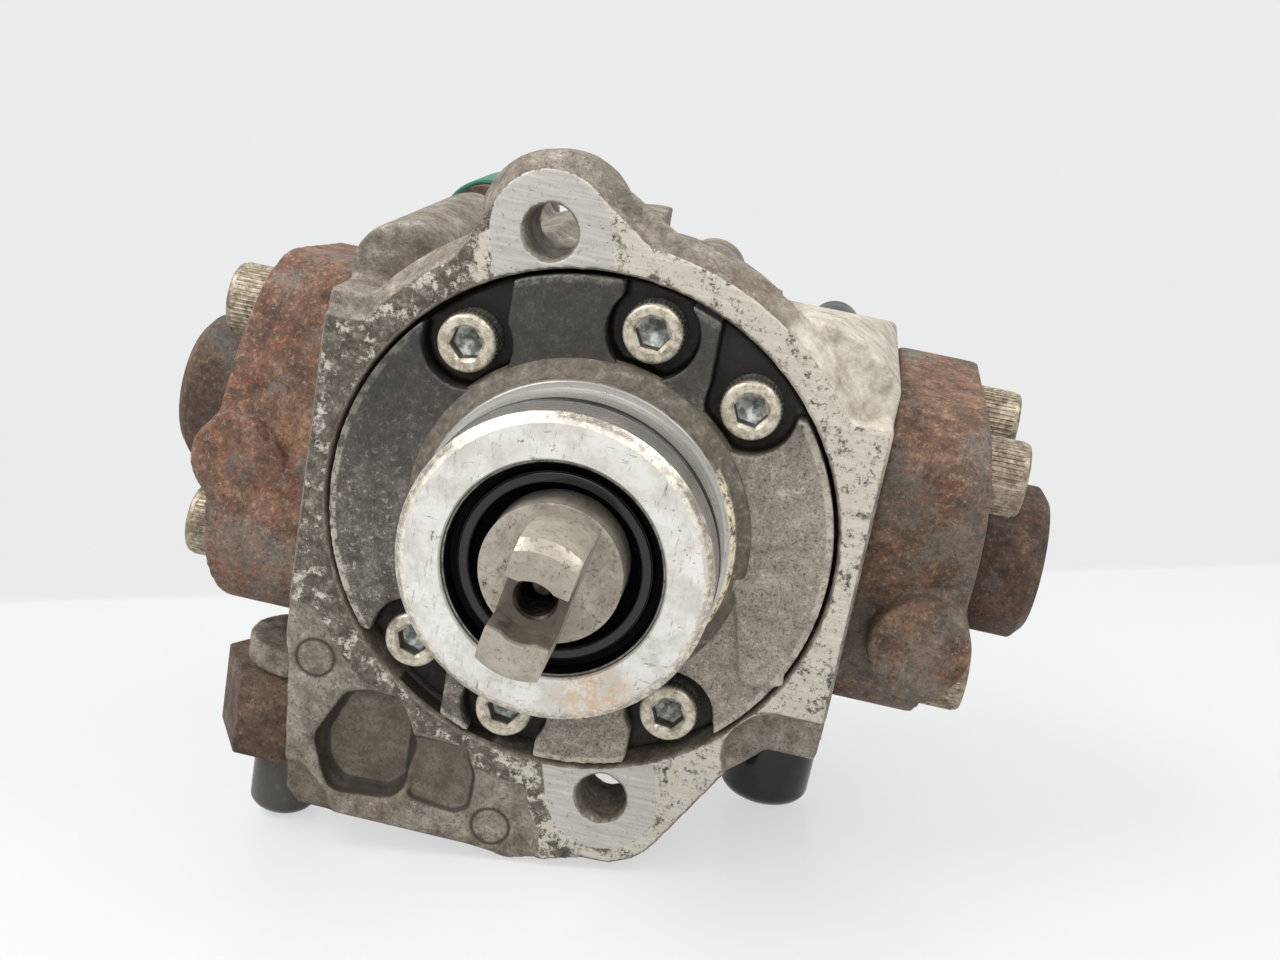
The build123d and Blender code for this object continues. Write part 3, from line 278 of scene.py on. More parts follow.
class Finish(Nodes):
    """One material: a Principled shader with helpers for the nodes that feed it."""

    def __init__(self, name, roughness=0.5):
        self.material = bpy.data.materials.new(name)
        self.material.use_nodes = True
        super().__init__(self.material.node_tree)
        self.nodes.clear()
        self.shader = self.add("BsdfPrincipled", Roughness=roughness)
        self.add("OutputMaterial", Surface=self.shader.outputs[0])
        self.place = self.add("TexCoord")

    def where(self, scale=(1, 1, 1), turn=(0, 0, 0), move=(0, 0, 0)):
        """Object coordinates stretched, turned by degrees and moved."""
        return self.add("Mapping", Vector=self.place.outputs["Object"], Scale=scale, Location=move,
                        Rotation=[math.radians(a) for a in turn]).outputs[0]

    def axis(self, letter, source="Object"):
        """Coordinate in metres, or one part of the surface's direction."""
        return self.add("SeparateXYZ", Vector=self.place.outputs[source]).outputs[letter]

    def noise(self, size, detail=4.0, rough=0.6, vector=None):
        """Cloud pattern whose blotches are about size millimetres."""
        node = self.add("TexNoise", Vector=vector or self.place.outputs["Object"], Scale=1000.0 / size,
                        Detail=detail, Roughness=rough)
        return node.outputs["Fac"]

    def span(self, value, low, high, to_low=0.0, to_high=1.0):
        """Smooth step of a value from one level to another."""
        node = self.add("MapRange", Value=value, From_Min=low, From_Max=high, To_Min=to_low, To_Max=to_high)
        node.interpolation_type = "SMOOTHSTEP"
        return node.outputs["Result"]

    def step(self, value, low, high, to_low=0.0, to_high=1.0):
        """Smooth step of a coordinate, its ends in millimetres."""
        return self.span(value, low * MM, high * MM, to_low, to_high)

    def within(self, value, rise, fall):
        """1 between two places in millimetres, each given as the ends of its soft edge."""
        return self.times(self.step(value, *rise), self.step(value, *fall, 1, 0))

    def mix(self, amount, a, b):
        """Mixed colour."""
        node = self.add("Mix")
        node.data_type = "RGBA"
        self.feed(amount, node.inputs[0])
        self.feed(a, node.inputs[6])
        self.feed(b, node.inputs[7])
        return node.outputs[2]

    def blend(self, amount, a, b):
        """Mixed number."""
        node = self.add("Mix")
        self.feed(amount, node.inputs[0])
        self.feed(a, node.inputs[2])
        self.feed(b, node.inputs[3])
        return node.outputs[0]

    def colour(self, value):
        """Sets or feeds the surface's colour."""
        self.feed(value, self.shader.inputs["Base Color"])

    def gloss(self, value):
        """Sets or feeds the roughness: 0 is a mirror."""
        self.feed(value, self.shader.inputs["Roughness"])

    def metal(self, value):
        """Sets or feeds the share of bare metal."""
        self.feed(value, self.shader.inputs["Metallic"])

    def relief(self, height, depth, strength):
        """Bump of the given depth in millimetres."""
        bump = self.add("Bump", Height=height, Distance=depth * MM, Strength=strength)
        self.feed(bump.outputs[0], self.shader.inputs["Normal"])

    def facing(self, letter, low, high):
        """1 where the surface looks along minus the axis."""
        return self.span(self.axis(letter, "Normal"), -high, -low, 1.0, 0.0)

    def radius(self):
        """Distance from the shaft axis in metres."""
        return self.distance(self.axis("X"), self.axis("Z"))


# ------------------------------------------------------------------ materials


def housing_finish():
    """Sand-rough die-cast alloy with a worn, pitted machined front and two brushed pads."""
    f = Finish("cast_housing")
    x, y, z = f.axis("X"), f.axis("Y"), f.axis("Z")
    grain, fine = f.noise(0.5, 4, 0.7), f.noise(1.2, 7, 0.8)
    blotch, cloud = f.noise(3.6, 8, 0.72), f.noise(17, 5, 0.6)
    cast = f.ramp(blotch, (0.32, (84, 76, 66)), (0.46, (118, 110, 99)),
                  (0.57, (142, 134, 122)), (0.72, (176, 169, 157)))
    cast = f.mix(f.span(cloud, 0.47, 0.66, 0, 0.5), cast, (102, 86, 66))
    cast = f.mix(f.span(fine, 0.57, 0.66, 0.0, 0.5), cast, (196, 190, 178))
    cast = f.mix(f.span(grain, 0.32, 0.50, 0.75, 0.0), cast, (62, 55, 47))
    sandy = f.ramp(blotch, (0.34, (150, 141, 126)), (0.5, (190, 182, 167)), (0.66, (214, 208, 195)))
    sandy = f.mix(f.span(fine, 0.30, 0.44, 0.75, 0.0), sandy, (112, 102, 87))
    shoulder = f.times(f.step(x, 24, 31), f.step(z, 18, 26))
    cast = f.mix(f.times(shoulder, f.step(y, 45, 66, 0.85, 0.0)), cast, sandy)

    face = f.times(f.facing("Y", 0.88, 0.97), f.step(y, 0.35, 0.7, 1, 0))
    pad = f.times(face, lug_pads(f))
    lean = f.plus(x, f.times(z, 0.25))
    dull = f.step(lean, -34, 16, 0.115, 0.0)
    worn = f.plus(f.noise(3.4, 9, 0.80), dull)
    bare = f.times(face, f.span(worn, 0.545, 0.60, 1.0, 0.0))
    streak = f.noise(0.7, 5, 0.75, f.where((0.07, 1, 1), (0, 10.4, 0)))
    milled = f.ramp(streak, (0.25, (176, 169, 156)), (0.52, (196, 190, 178)), (0.78, (214, 210, 200)))
    milled = f.mix(f.span(fine, 0.54, 0.60, 0.0, 0.8), milled, (104, 95, 82))
    milled = f.mix(f.span(f.noise(2.8, 7, 0.75), 0.50, 0.62, 0.0, 0.5), milled, (190, 179, 160))
    tired = f.ramp(f.noise(2.2, 9, 0.82), (0.36, (50, 45, 38)), (0.47, (78, 71, 62)),
                   (0.55, (106, 98, 88)), (0.64, (164, 156, 144)))
    brushed = f.ramp(streak, (0.25, (156, 152, 145)), (0.5, (182, 179, 173)), (0.75, (204, 201, 196)))
    nicks = f.span(f.noise(1.0, 8, 0.85), 0.58, 0.63)
    brushed = f.mix(f.times(nicks, 0.7), brushed, (110, 102, 90))
    colour = f.mix(bare, f.mix(face, cast, tired), milled)
    colour = f.mix(pad, colour, brushed)
    pins = f.times(*[pin_ring(f, *mark) for mark in PIN_MARKS])
    # The ejector-pin grooves are painted as dark rings: painted shade in the crease of each groove.
    colour = f.mix(f.less(1.0, pins), colour, (58, 50, 41))
    # Painted shade in the foot's pocket: its floor a little darker, its walls nearly black.
    low = f.times(f.within(y, (1.0, 1.4), (POCKET_DEPTH, POCKET_DEPTH + 0.4)),
                  f.step(z, POCKET_TOP, POCKET_TOP + 0.5, 1, 0), f.step(x, POCKET_RIGHT, POCKET_RIGHT + 1.0, 1, 0))
    walls = f.less(1.0, f.facing("Y", 0.80, 0.95))
    colour = f.mix(f.times(low, 0.58), colour, (70, 60, 47))
    colour = f.mix(f.times(low, walls, 0.85), colour, (40, 34, 28))
    f.colour(colour)
    shine = f.most(bare, pad)
    f.metal(f.blend(shine, 0.15, 0.35))
    f.gloss(f.blend(shine, f.span(blotch, 0.3, 0.7, 0.8, 0.58), f.span(streak, 0.3, 0.7, 0.52, 0.40)))
    rough_skin = f.plus(f.times(grain, 0.5), f.times(f.noise(2.0, 3), 0.5))
    worn_skin = f.plus(f.times(bare, 0.45), f.times(grain, 0.3))
    cut_skin = f.less(0.75, f.times(nicks, 0.3))
    height = f.blend(pad, f.blend(face, rough_skin, worn_skin), cut_skin)
    f.relief(f.times(height, pins), 0.24, 0.9)
    return f.material


def lug_pads(f):
    """1 on the machined pads that reach from the two bolt holes to the cover's recess."""
    x, z = f.axis("X"), f.axis("Z")
    along = f.sums("ABSOLUTE", f.plus(f.times(x, BOLT_AIM[0]), f.times(z, BOLT_AIM[1])))
    aside = f.less(f.times(x, BOLT_AIM[1]), f.times(z, BOLT_AIM[0]))
    past = f.most(f.less(along, BOLT_CIRCLE_R * MM), 0.0)
    far = f.distance(past, aside)
    return f.times(f.step(far, BOLT_PAD_R, BOLT_PAD_R + 0.3, 1, 0), f.step(along, 30, 30.1))


def pin_ring(f, x, z):
    """0 on the groove that an ejector pin left in the casting, 1 off it and away from the front."""
    far = f.distance(f.less(f.axis("X"), x * MM), f.less(f.axis("Z"), z * MM))
    groove = f.step(f.sums("ABSOLUTE", f.less(far, PIN_MARK_R * MM)), 0.0, 0.6)
    return f.most(groove, f.step(f.axis("Y"), 3, 4))


def cover_finish():
    """Cast alloy of the front cover, darkest and glossiest towards the top, with a rubbed rim."""
    f = Finish("cast_cover")
    x, y, z, r = f.axis("X"), f.axis("Y"), f.axis("Z"), f.radius()
    grain, fine = f.noise(0.45, 4, 0.7), f.noise(1.0, 7, 0.8)
    blotch, cloud = f.noise(3.2, 8, 0.72), f.noise(13, 4)
    cast = f.ramp(blotch, (0.3, (60, 55, 49)), (0.46, (98, 92, 83)), (0.58, (128, 121, 111)),
                  (0.70, (172, 165, 153)))
    rightward = f.step(f.less(x, f.times(z, 0.4)), -12, 34)
    cast = f.mix(f.times(rightward, 0.45), cast, (178, 170, 156))
    cast = f.mix(f.span(rightward, 0.0, 0.6, 0.35, 0.0), cast, (66, 60, 55))
    cast = f.mix(f.span(fine, 0.54, 0.62, 0.0, 0.65), cast, (190, 182, 169))
    cast = f.mix(f.span(fine, 0.36, 0.45, 0.75, 0.0), cast, (54, 49, 43))
    height = f.plus(z, f.times(x, -0.25))
    # Darker and glossier towards the top.
    darker_top = f.step(f.plus(height, f.times(cloud, 26 * MM)), 12, 44)
    cast = f.mix(f.times(darker_top, 0.84), cast, (46, 44, 42))
    # Painted shade: the cover's surfaces set back behind its front, between it and the housing, go nearly black.
    deep = f.step(y, 0.6, 3.6)
    cast = f.mix(f.times(deep, 0.88), cast, (26, 23, 20))
    cast = f.mix(f.span(grain, 0.32, 0.52, 0.7, 0.0), cast, (40, 36, 32))
    rim = f.times(f.step(r, 40.9, 41.3), f.step(y, 0.3, 0.8, 1, 0))
    rubbed = f.times(rim, f.span(f.noise(2.4, 7, 0.8), 0.44, 0.54, 0.0, 0.8))
    cast = f.mix(f.times(rubbed, f.step(height, 0, 30, 1.0, 0.2)), cast, (186, 178, 164))
    f.colour(cast)
    f.metal(0.2)
    f.gloss(f.blend(darker_top, f.span(blotch, 0.3, 0.7, 0.75, 0.55), f.span(blotch, 0.3, 0.7, 0.5, 0.32)))
    f.relief(f.plus(f.times(grain, 0.5), f.times(f.noise(1.8, 3), 0.4)), 0.17, 0.9)
    return f.material


def hub_finish():
    """Turned hub: scuffed matt front, chipped chamfer, groove and seal bore painted black as shade, bright neck and
    dark foot.
    """
    f = Finish("turned_hub")
    x, y, z, r = f.axis("X"), f.axis("Y"), f.axis("Z"), f.radius()
    section = f.add("CombineXYZ", X=r, Y=y).outputs[0]
    rings, wide_rings = f.noise(0.35, 3, 0.6, section), f.noise(2.6, 3, 0.6, section)
    scuffs = f.span(f.noise(0.8, 8, 0.85, f.where((1, 1, 0.16), (0, 30, 0))), 0.575, 0.62)
    swirls = f.span(f.noise(1.0, 8, 0.85, f.where((0.2, 1, 1), (0, -20, 0))), 0.585, 0.63)
    dents = f.span(f.noise(2.6, 6, 0.7), 0.645, 0.675)
    front = f.step(y, HUB_FRONT + 0.3, HUB_FRONT + 0.7, 1, 0)
    colour = f.mix(f.span(wide_rings, 0.35, 0.65), (170, 168, 163), (194, 192, 188))
    matt = f.mix(f.span(f.noise(5, 5, 0.7), 0.35, 0.65), (198, 195, 187), (224, 222, 217))
    colour = f.mix(front, colour, matt)
    colour = f.mix(f.times(f.most(scuffs, swirls), 0.75), colour, (116, 109, 98))
    colour = f.mix(f.times(dents, 0.8), colour, (96, 88, 76))
    spot = f.distance(f.less(x, HUB_STAIN[0] * MM), f.less(z, HUB_STAIN[1] * MM))
    stain = f.times(f.step(spot, 2.5, 8.5, 0.7, 0.0), f.span(f.noise(1.6, 7, 0.8), 0.40, 0.56))
    colour = f.mix(stain, colour, (206, 168, 118))
    chips = f.span(f.noise(1.6, 7, 0.8), 0.47, 0.55)
    band = f.times(f.step(r, HUB_R - 1.8, HUB_R - 1.5), f.step(y, HUB_FRONT + 1.5, HUB_FRONT + 1.9, 1, 0))
    chipped = f.mix(chips, (150, 134, 112), (226, 217, 199))
    colour = f.mix(f.times(band, f.blend(chips, 0.35, 0.8)), colour, chipped)
    # Painted shade: the groove and the seal bore go nearly black.
    groove = f.within(y, (GROOVE_FRONT - 0.3, GROOVE_FRONT), (GROOVE_BACK, GROOVE_BACK + 0.3))
    inside = f.step(r, SEAL_BORE_R - 0.2, SEAL_BORE_R + 0.2, 1, 0)
    dark = f.most(groove, inside)
    colour = f.mix(f.times(dark, 0.92), colour, (22, 20, 18))
    foot = f.step(y, HUB_FOOT, HUB_FOOT + 0.4)
    dirty = f.ramp(f.noise(1.5, 7, 0.75), (0.35, (66, 59, 51)), (0.55, (98, 90, 79)),
                   (0.7, (138, 129, 116)))
    colour = f.mix(foot, colour, dirty)
    edge = f.within(r, (25.6, 25.9), (26.5, 26.8))
    side = f.step(f.less(x, f.times(z, 0.5)), 10, 17)
    lip = f.times(edge, side, f.span(f.noise(2.0, 7, 0.8), 0.44, 0.52))
    colour = f.mix(lip, colour, (226, 212, 182))
    f.colour(colour)
    f.metal(f.times(f.blend(front, 0.75, 0.35), f.blend(f.most(foot, dark), 1.0, 0.15)))
    shine = f.blend(front, f.span(rings, 0.3, 0.7, 0.36, 0.24), f.span(rings, 0.3, 0.7, 0.50, 0.40))
    f.gloss(f.blend(f.most(foot, dark), shine, 0.65))
    dip = f.plus(f.times(scuffs, -0.6), f.times(dents, -3.0))
    f.relief(f.plus(f.times(rings, 0.5), dip), 0.02, 0.8)
    return f.material


def seal_finish(name, colour, roughness, level, edge=None):
    """Rubber of the shaft seal. Where an edge radius is given, its case shows as bare metal there."""
    f = Finish(name)
    dust = f.span(f.noise(1.1, 7, 0.8), 0.60, 0.68, 0.0, 0.16)
    skin = f.mix(dust, colour, (120, 112, 100))
    if edge:
        steel = f.mix(f.span(f.noise(1.5, 6, 0.8), 0.45, 0.6), (150, 146, 138), (96, 90, 82))
        skin = f.mix(f.step(f.radius(), edge - 0.2, edge), skin, steel)
    f.colour(skin)
    f.shader.inputs["Specular IOR Level"].default_value = level
    f.gloss(f.span(f.noise(2.2, 4), 0.3, 0.7, roughness - 0.04, roughness + 0.06))
    f.relief(f.noise(0.5, 3), 0.006, 0.8)
    return f.material


def shaft_finish():
    """Worn drive shaft: pitted grey faces and rubbed edges, the slot painted dark as shade and the mouth of the
    puller hole painted black as shade.
    """
    f = Finish("worn_shaft")
    x, y, z, r = f.axis("X"), f.axis("Y"), f.axis("Z"), f.radius()
    fine, cloud = f.noise(0.8, 8, 0.8), f.noise(5, 5, 0.65)
    colour = f.mix(f.span(cloud, 0.38, 0.62), (150, 142, 129), (178, 171, 158))
    tip = f.step(y, -26.2, -25, 1, 0)
    colour = f.mix(f.times(tip, 0.4), colour, (172, 164, 148))
    pits = f.span(f.noise(1.0, 8, 0.88), 0.565, 0.605)
    cluster = f.span(f.noise(7, 3), 0.48, 0.60, 0.25, 1.0)
    colour = f.mix(f.times(pits, cluster), colour, (66, 60, 52))
    colour = f.mix(f.span(fine, 0.34, 0.48, 0.7, 0.0), colour, (98, 90, 77))
    turn = math.radians(TANG_LEAN)
    along = f.plus(f.times(z, math.cos(turn)), f.times(x, math.sin(turn)))
    slot = f.times(f.step(f.sums("ABSOLUTE", along), 5.1, 5.5, 1, 0), f.within(y, (-39.8, -38.6), (-30, -29)))
    # Painted shade: the slot between the jaws is darkened.
    slot_shade = f.ramp(f.noise(2, 6, 0.75), (0.4, (48, 41, 33)), (0.6, (84, 74, 61)))
    colour = f.mix(f.times(slot, 0.88), colour, slot_shade)
    # Painted shade: the mouth of the puller hole goes nearly black.
    hole = f.times(f.step(r, 3.5, 3.8, 1, 0), f.step(y, -33.6, -33.2))
    colour = f.mix(f.times(hole, 0.9), colour, (24, 21, 18))
    f.colour(colour)
    f.metal(f.blend(f.most(slot, hole), 0.55, 0.1))
    f.gloss(f.span(fine, 0.3, 0.7, 0.32, 0.46))
    f.relief(f.less(f.times(fine, 0.4), pits), 0.05, 0.8)
    return f.material


def rust_finish(name, red, grey, shade=1.0):
    """Rusted iron casting: brown scale with fresh rust, sandy patches and blue-grey phosphate."""
    f = Finish(name)

    def brown(*colour):
        return [c * shade for c in colour]

    grain, fine = f.noise(0.45, 5, 0.75), f.noise(1.0, 8, 0.82)
    blotch, cloud = f.noise(4.0, 9, 0.75), f.noise(20, 6, 0.62)
    rust = f.ramp(blotch, (0.34, brown(62, 48, 40)), (0.46, brown(96, 74, 59)), (0.56, brown(120, 93, 75)),
                  (0.68, brown(156, 126, 102)))
    steel = f.ramp(f.noise(2.2, 8, 0.78), (0.36, brown(78, 73, 66)), (0.64, brown(122, 115, 105)))
    uneven = f.plus(cloud, f.times(f.noise(1.8, 8, 0.82), 0.35))
    patch = f.span(uneven, 0.72 - 0.1 * grey, 0.80 - 0.1 * grey)
    colour = f.mix(f.times(patch, 0.7), rust, steel)
    area = f.span(f.noise(14, 5, 0.6, f.where(move=(7, 2, 5))), 0.60 - 0.2 * red, 0.70 - 0.2 * red)
    fresh = f.times(area, f.span(f.noise(1.1, 8, 0.82), 0.50, 0.60, 0.0, 0.8))
    colour = f.mix(fresh, colour, brown(136, 76, 52))
    sandy = f.times(f.span(f.noise(16, 5, 0.6, f.where(move=(3, 1, 2))), 0.52, 0.66),
                   f.span(f.noise(1.6, 8, 0.8), 0.42, 0.60, 0.0, 0.6))
    colour = f.mix(sandy, colour, brown(154, 118, 84))
    colour = f.mix(f.span(fine, 0.55, 0.62, 0.0, 0.55), colour, brown(172, 150, 126))
    colour = f.mix(f.span(fine, 0.37, 0.45, 0.6, 0.0), colour, brown(58, 44, 36))
    colour = f.mix(f.span(grain, 0.32, 0.50, 0.75, 0.0), colour, brown(56, 43, 36))
    f.colour(colour)
    f.metal(0.08)
    f.gloss(f.span(patch, 0, 1, 0.82, 0.60))
    height = f.plus(f.times(grain, 0.5), f.times(f.noise(1.5, 6, 0.7), 0.7))
    f.relief(height, 0.24, 0.9)
    return f.material


def screw_finish():
    """Plated cover screw whose top is rubbed; its socket walls painted dark as shade and its floor painted bright as
    a highlight.
    """
    f = Finish("screw_zinc")
    y = f.axis("Y")
    colour = f.mix(f.span(f.noise(1.4, 7, 0.8), 0.40, 0.58), (160, 151, 132), (208, 201, 184))
    colour = f.mix(f.span(f.noise(2.2, 8, 0.8), 0.52, 0.60, 0.0, 0.6), colour, (104, 92, 74))
    # Painted shade on the socket walls, then a painted highlight on the socket floor.
    walls = f.within(y, (-0.6, 0.2), (2.2, 2.4))
    colour = f.mix(f.times(walls, 0.8), colour, (40, 36, 31))
    floor = f.within(y, (2.3, 2.5), (4.0, 4.2))
    colour = f.mix(floor, colour, f.mix(f.span(f.noise(1.2, 5), 0.4, 0.6), (190, 194, 190), (120, 124, 118)))
    f.colour(colour)
    f.metal(f.blend(walls, 0.55, 0.2))
    f.gloss(f.span(f.noise(0.8, 4), 0.3, 0.7, 0.32, 0.50))
    f.relief(f.noise(0.5, 4, 0.7), 0.04, 0.8)
    return f.material


def plated_finish(name, light, dark, grime=(92, 80, 66)):
    """Plated or machined steel with dirt in patches."""
    f = Finish(name)
    colour = f.mix(f.span(f.noise(1.7, 6, 0.75), 0.40, 0.60), dark, light)
    soil = f.span(f.noise(2.8, 8, 0.75), 0.50, 0.60, 0.0, 0.5)
    colour = f.mix(soil, colour, grime)
    colour = f.mix(f.span(f.noise(0.6, 4, 0.7), 0.33, 0.46, 0.6, 0.0), colour, [c // 2 for c in grime])
    f.colour(colour)
    f.metal(0.6)
    f.gloss(f.blend(soil, f.span(f.noise(0.8, 4), 0.3, 0.7, 0.30, 0.48), 0.72))
    f.relief(f.noise(0.5, 4, 0.7), 0.04, 0.8)
    return f.material


def soft_finish(name, colour, roughness, depth=0.02, dusty=0.12):
    """Rubber or moulded plastic with a faint grain and dust."""
    f = Finish(name, roughness)
    dust = f.span(f.noise(3, 7, 0.75), 0.52, 0.72, 0.0, dusty)
    f.colour(f.mix(dust, colour, (130, 122, 110)))
    f.gloss(f.span(f.noise(2.2, 4), 0.3, 0.7, max(roughness - 0.06, 0.04), roughness + 0.1))
    f.relief(f.noise(0.4, 3), depth, 0.8)
    return f.material


def bronze_finish():
    """Bearing bronze of the bushes."""
    f = Finish("bush_bronze")
    f.colour(f.ramp(f.noise(0.7, 4), (0.35, (150, 118, 78)), (0.65, (190, 158, 112))))
    f.metal(0.9)
    f.gloss(0.4)
    f.relief(f.noise(0.3, 3), 0.02, 0.7)
    return f.material


def dress(piece, material):
    """Gives a CAD node or a piece one material."""
    piece.data.materials.clear()
    piece.data.materials.append(material)


# ------------------------------------------------------------------ shapes

bodies = frame["record"]["behaviour"]["bodies"]
slots = {entry["node"]: entry["material_slot"] for entry in frame["record"]["subparts"]}


def body_name(node):
    """Body that a CAD node belongs to."""
    return next(body for body, names in bodies.items() if node in names)


def merged_copy(node):
    """Merged copy of a CAD node's mesh."""
    mesh = frame["nodes"][node].data.copy()
    shape = bmesh.new()
    shape.from_mesh(mesh)
    bmesh.ops.remove_doubles(shape, verts=shape.verts, dist=1e-6)
    shape.to_mesh(mesh)
    shape.free()
    return mesh


def stand_in(name, mesh, material, *nodes, sharp=None):
    """Piece that stands for CAD nodes and rides where the first of them rides."""
    piece = bpy.data.objects.new(name, mesh)
    bpy.context.collection.objects.link(piece)
    dress(piece, material)
    mesh.polygons.foreach_set("use_smooth", [True] * len(mesh.polygons))
    if sharp:
        mesh.set_sharp_from_angle(angle=math.radians(sharp))
    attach(piece, body_name(nodes[0]))
    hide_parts(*nodes)
    return piece


def applied(piece):
    """Plain mesh of a piece with its modifiers applied."""
    view = bpy.context.evaluated_depsgraph_get()
    view.update()
    mesh = bpy.data.meshes.new_from_object(piece.evaluated_get(view))
    bpy.data.objects.remove(piece)
    return mesh


def working(mesh):
    """Linked object to apply modifiers to."""
    piece = bpy.data.objects.new("working", mesh)
    bpy.context.collection.objects.link(piece)
    return piece


def hull(points):
    """Convex outline round a set of points."""
    points = sorted(set(points))

    def half(row):
        chain = []
        for u, v in row:
            while len(chain) > 1 and ((chain[-1][0] - chain[-2][0]) * (v - chain[-2][1])
                                      <= (chain[-1][1] - chain[-2][1]) * (u - chain[-2][0])):
                chain.pop()
            chain.append((u, v))
        return chain[:-1]

    return half(points) + half(points[::-1])


def rounds(*corners):
    """Convex outline round a set of (radius, u, v) circles."""
    return hull([point for r, u, v in corners for point in arc(u, v, r, 0, 345, 23)])


def sector(inner, outer, start, end, steps=24):
    """Outline of a part of a ring about the shaft axis, angles in degrees from +X towards +Z."""
    return arc(0, 0, outer, start, end, steps) + arc(0, 0, inner, end, start, steps)


def prism(outline, low, high, axis="Y"):
    """Closed solid over an outline in millimetres, carried along X or Y."""
    count = len(outline)
    if axis == "X":
        points = [(t * MM, u * MM, v * MM) for t in (low, high) for u, v in outline]
    else:
        points = [(u * MM, t * MM, v * MM) for t in (low, high) for u, v in outline]
    faces = [tuple(range(count)), tuple(range(2 * count - 1, count - 1, -1))]
    faces += [(i, (i + 1) % count, count + (i + 1) % count, count + i) for i in range(count)]
    mesh = bpy.data.meshes.new("prism")
    mesh.from_pydata(points, [], faces)
    tidy_mesh(mesh)
    return mesh


def box(low, high):
    """Closed block between two corners."""
    return prism([(low[0], low[2]), (high[0], low[2]), (high[0], high[2]), (low[0], high[2])], low[1], high[1])


def carved(mesh, tools, kind="DIFFERENCE"):
    """Mesh less each of the tools, or what it shares with them."""
    piece = working(mesh)
    knives = [working(tool) for tool in tools]
    for knife in knives:
        trim = piece.modifiers.new("trim", "BOOLEAN")
        trim.operation = kind
        trim.solver = "EXACT"
        trim.object = knife
    result = applied(piece)
    for knife in knives:
        bpy.data.objects.remove(knife)
    return result


def joined(meshes):
    """One mesh of several."""
    shape = bmesh.new()
    for mesh in meshes:
        shape.from_mesh(mesh)
    result = bpy.data.meshes.new("joined")
    shape.to_mesh(result)
    shape.free()
    return result


def cast_skin(node, voxel, passes, material, name, keep=1.0, cuts=(), zones=()):
    """Rounded casting made from a CAD node: fine even mesh with its edges eased."""
    mesh = merged_copy(node)
    if zones:
        mesh = joined([carved(mesh.copy(), [zone], "INTERSECT") for zone in zones])
    if cuts:
        mesh = carved(mesh, cuts)
    piece = working(mesh)
    remesh = piece.modifiers.new("even", "REMESH")
    remesh.mode = "VOXEL"
    remesh.voxel_size = voxel * MM
    ease = piece.modifiers.new("ease", "SMOOTH")
    ease.factor = 0.5
    ease.iterations = passes
    if keep < 1:
        thin = piece.modifiers.new("thin", "DECIMATE")
        thin.ratio = keep
    return stand_in(name, applied(piece), material, node)


def eased(node, width, material, narrow=None):
    """CAD node with its edges broken, slimmer behind a place where narrow gives ((x, z), share, y)."""
    mesh = merged_copy(node)
    shape = bmesh.new()
    shape.from_mesh(mesh)
    if narrow:
        (x, z), share, start = narrow
        for vert in shape.verts:
            if vert.co.y > start * MM:
                vert.co.x = x * MM + (vert.co.x - x * MM) * share
                vert.co.z = z * MM + (vert.co.z - z * MM) * share
    bmesh.ops.dissolve_limit(shape, angle_limit=math.radians(1.0), verts=shape.verts, edges=shape.edges)
    shape.to_mesh(mesh)
    shape.free()
    piece = working(mesh)
    edge = piece.modifiers.new("edge", "BEVEL")
    edge.width = width * MM
    edge.segments = 2
    edge.limit_method = "ANGLE"
    edge.angle_limit = math.radians(35)
    return stand_in(node + "_eased", applied(piece), material, node, sharp=SHARP_EDGE)


def turned(name, profile, material, *nodes, steps=192, sharp=SHARP_EDGE):
    """Ring or solid turned about the Y axis from (radius, y) corners in millimetres."""
    angles = np.linspace(0, 2 * math.pi, steps, endpoint=False)
    points = [(r * math.cos(a) * MM, y * MM, r * math.sin(a) * MM) for a in angles for r, y in profile]
    count = len(profile)
    faces = [(i * count + j, i * count + (j + 1) % count,
              (i + 1) % steps * count + (j + 1) % count, (i + 1) % steps * count + j)
             for i in range(steps) for j in range(count)]
    mesh = bpy.data.meshes.new(name)
    mesh.from_pydata(points, [], faces)
    tidy_mesh(mesh)
    return stand_in(name, mesh, material, *nodes, sharp=sharp)


def tidy_mesh(mesh):
    """Merges points on the axis and turns every face outward."""
    shape = bmesh.new()
    shape.from_mesh(mesh)
    bmesh.ops.remove_doubles(shape, verts=shape.verts, dist=1e-7)
    bmesh.ops.recalc_face_normals(shape, faces=shape.faces)
    shape.to_mesh(mesh)
    shape.free()


def arc(r, y, radius, start, end, steps=8):
    """Points of an arc round (r, y), angles in degrees from +r towards +y."""
    angles = [math.radians(start + (end - start) * i / steps) for i in range(steps + 1)]
    return [(r + radius * math.cos(a), y + radius * math.sin(a)) for a in angles]


# ------------------------------------------------------------------ screws


def node_group(name, **inputs):
    """Geometry Nodes tree with named inputs of a kind and a value. Returns it and its inputs' identifiers."""
    tree = bpy.data.node_groups.new(name, "GeometryNodeTree")
    names = {}
    for label, (kind, value) in {"Geometry": ("Geometry", None), **inputs}.items():
        label = label.replace("_", " ")
        item = tree.interface.new_socket(name=label, in_out="INPUT", socket_type="NodeSocket" + kind)
        if value is not None:
            item.default_value = value
        names[label] = item.identifier
    tree.interface.new_socket(name="Geometry", in_out="OUTPUT", socket_type="NodeSocketGeometry")
    return tree, names


def end_tree(t, given, geometry):
    """Makes a tree's instances real, gives them the material and passes them out."""
    real = t.add("GeometryNodeRealizeInstances", Geometry=geometry)
    paint = t.add("GeometryNodeSetMaterial", Geometry=real.outputs[0], Material=given["Material"])
    t.feed(paint.outputs[0], t.add("NodeGroupOutput").inputs[0])


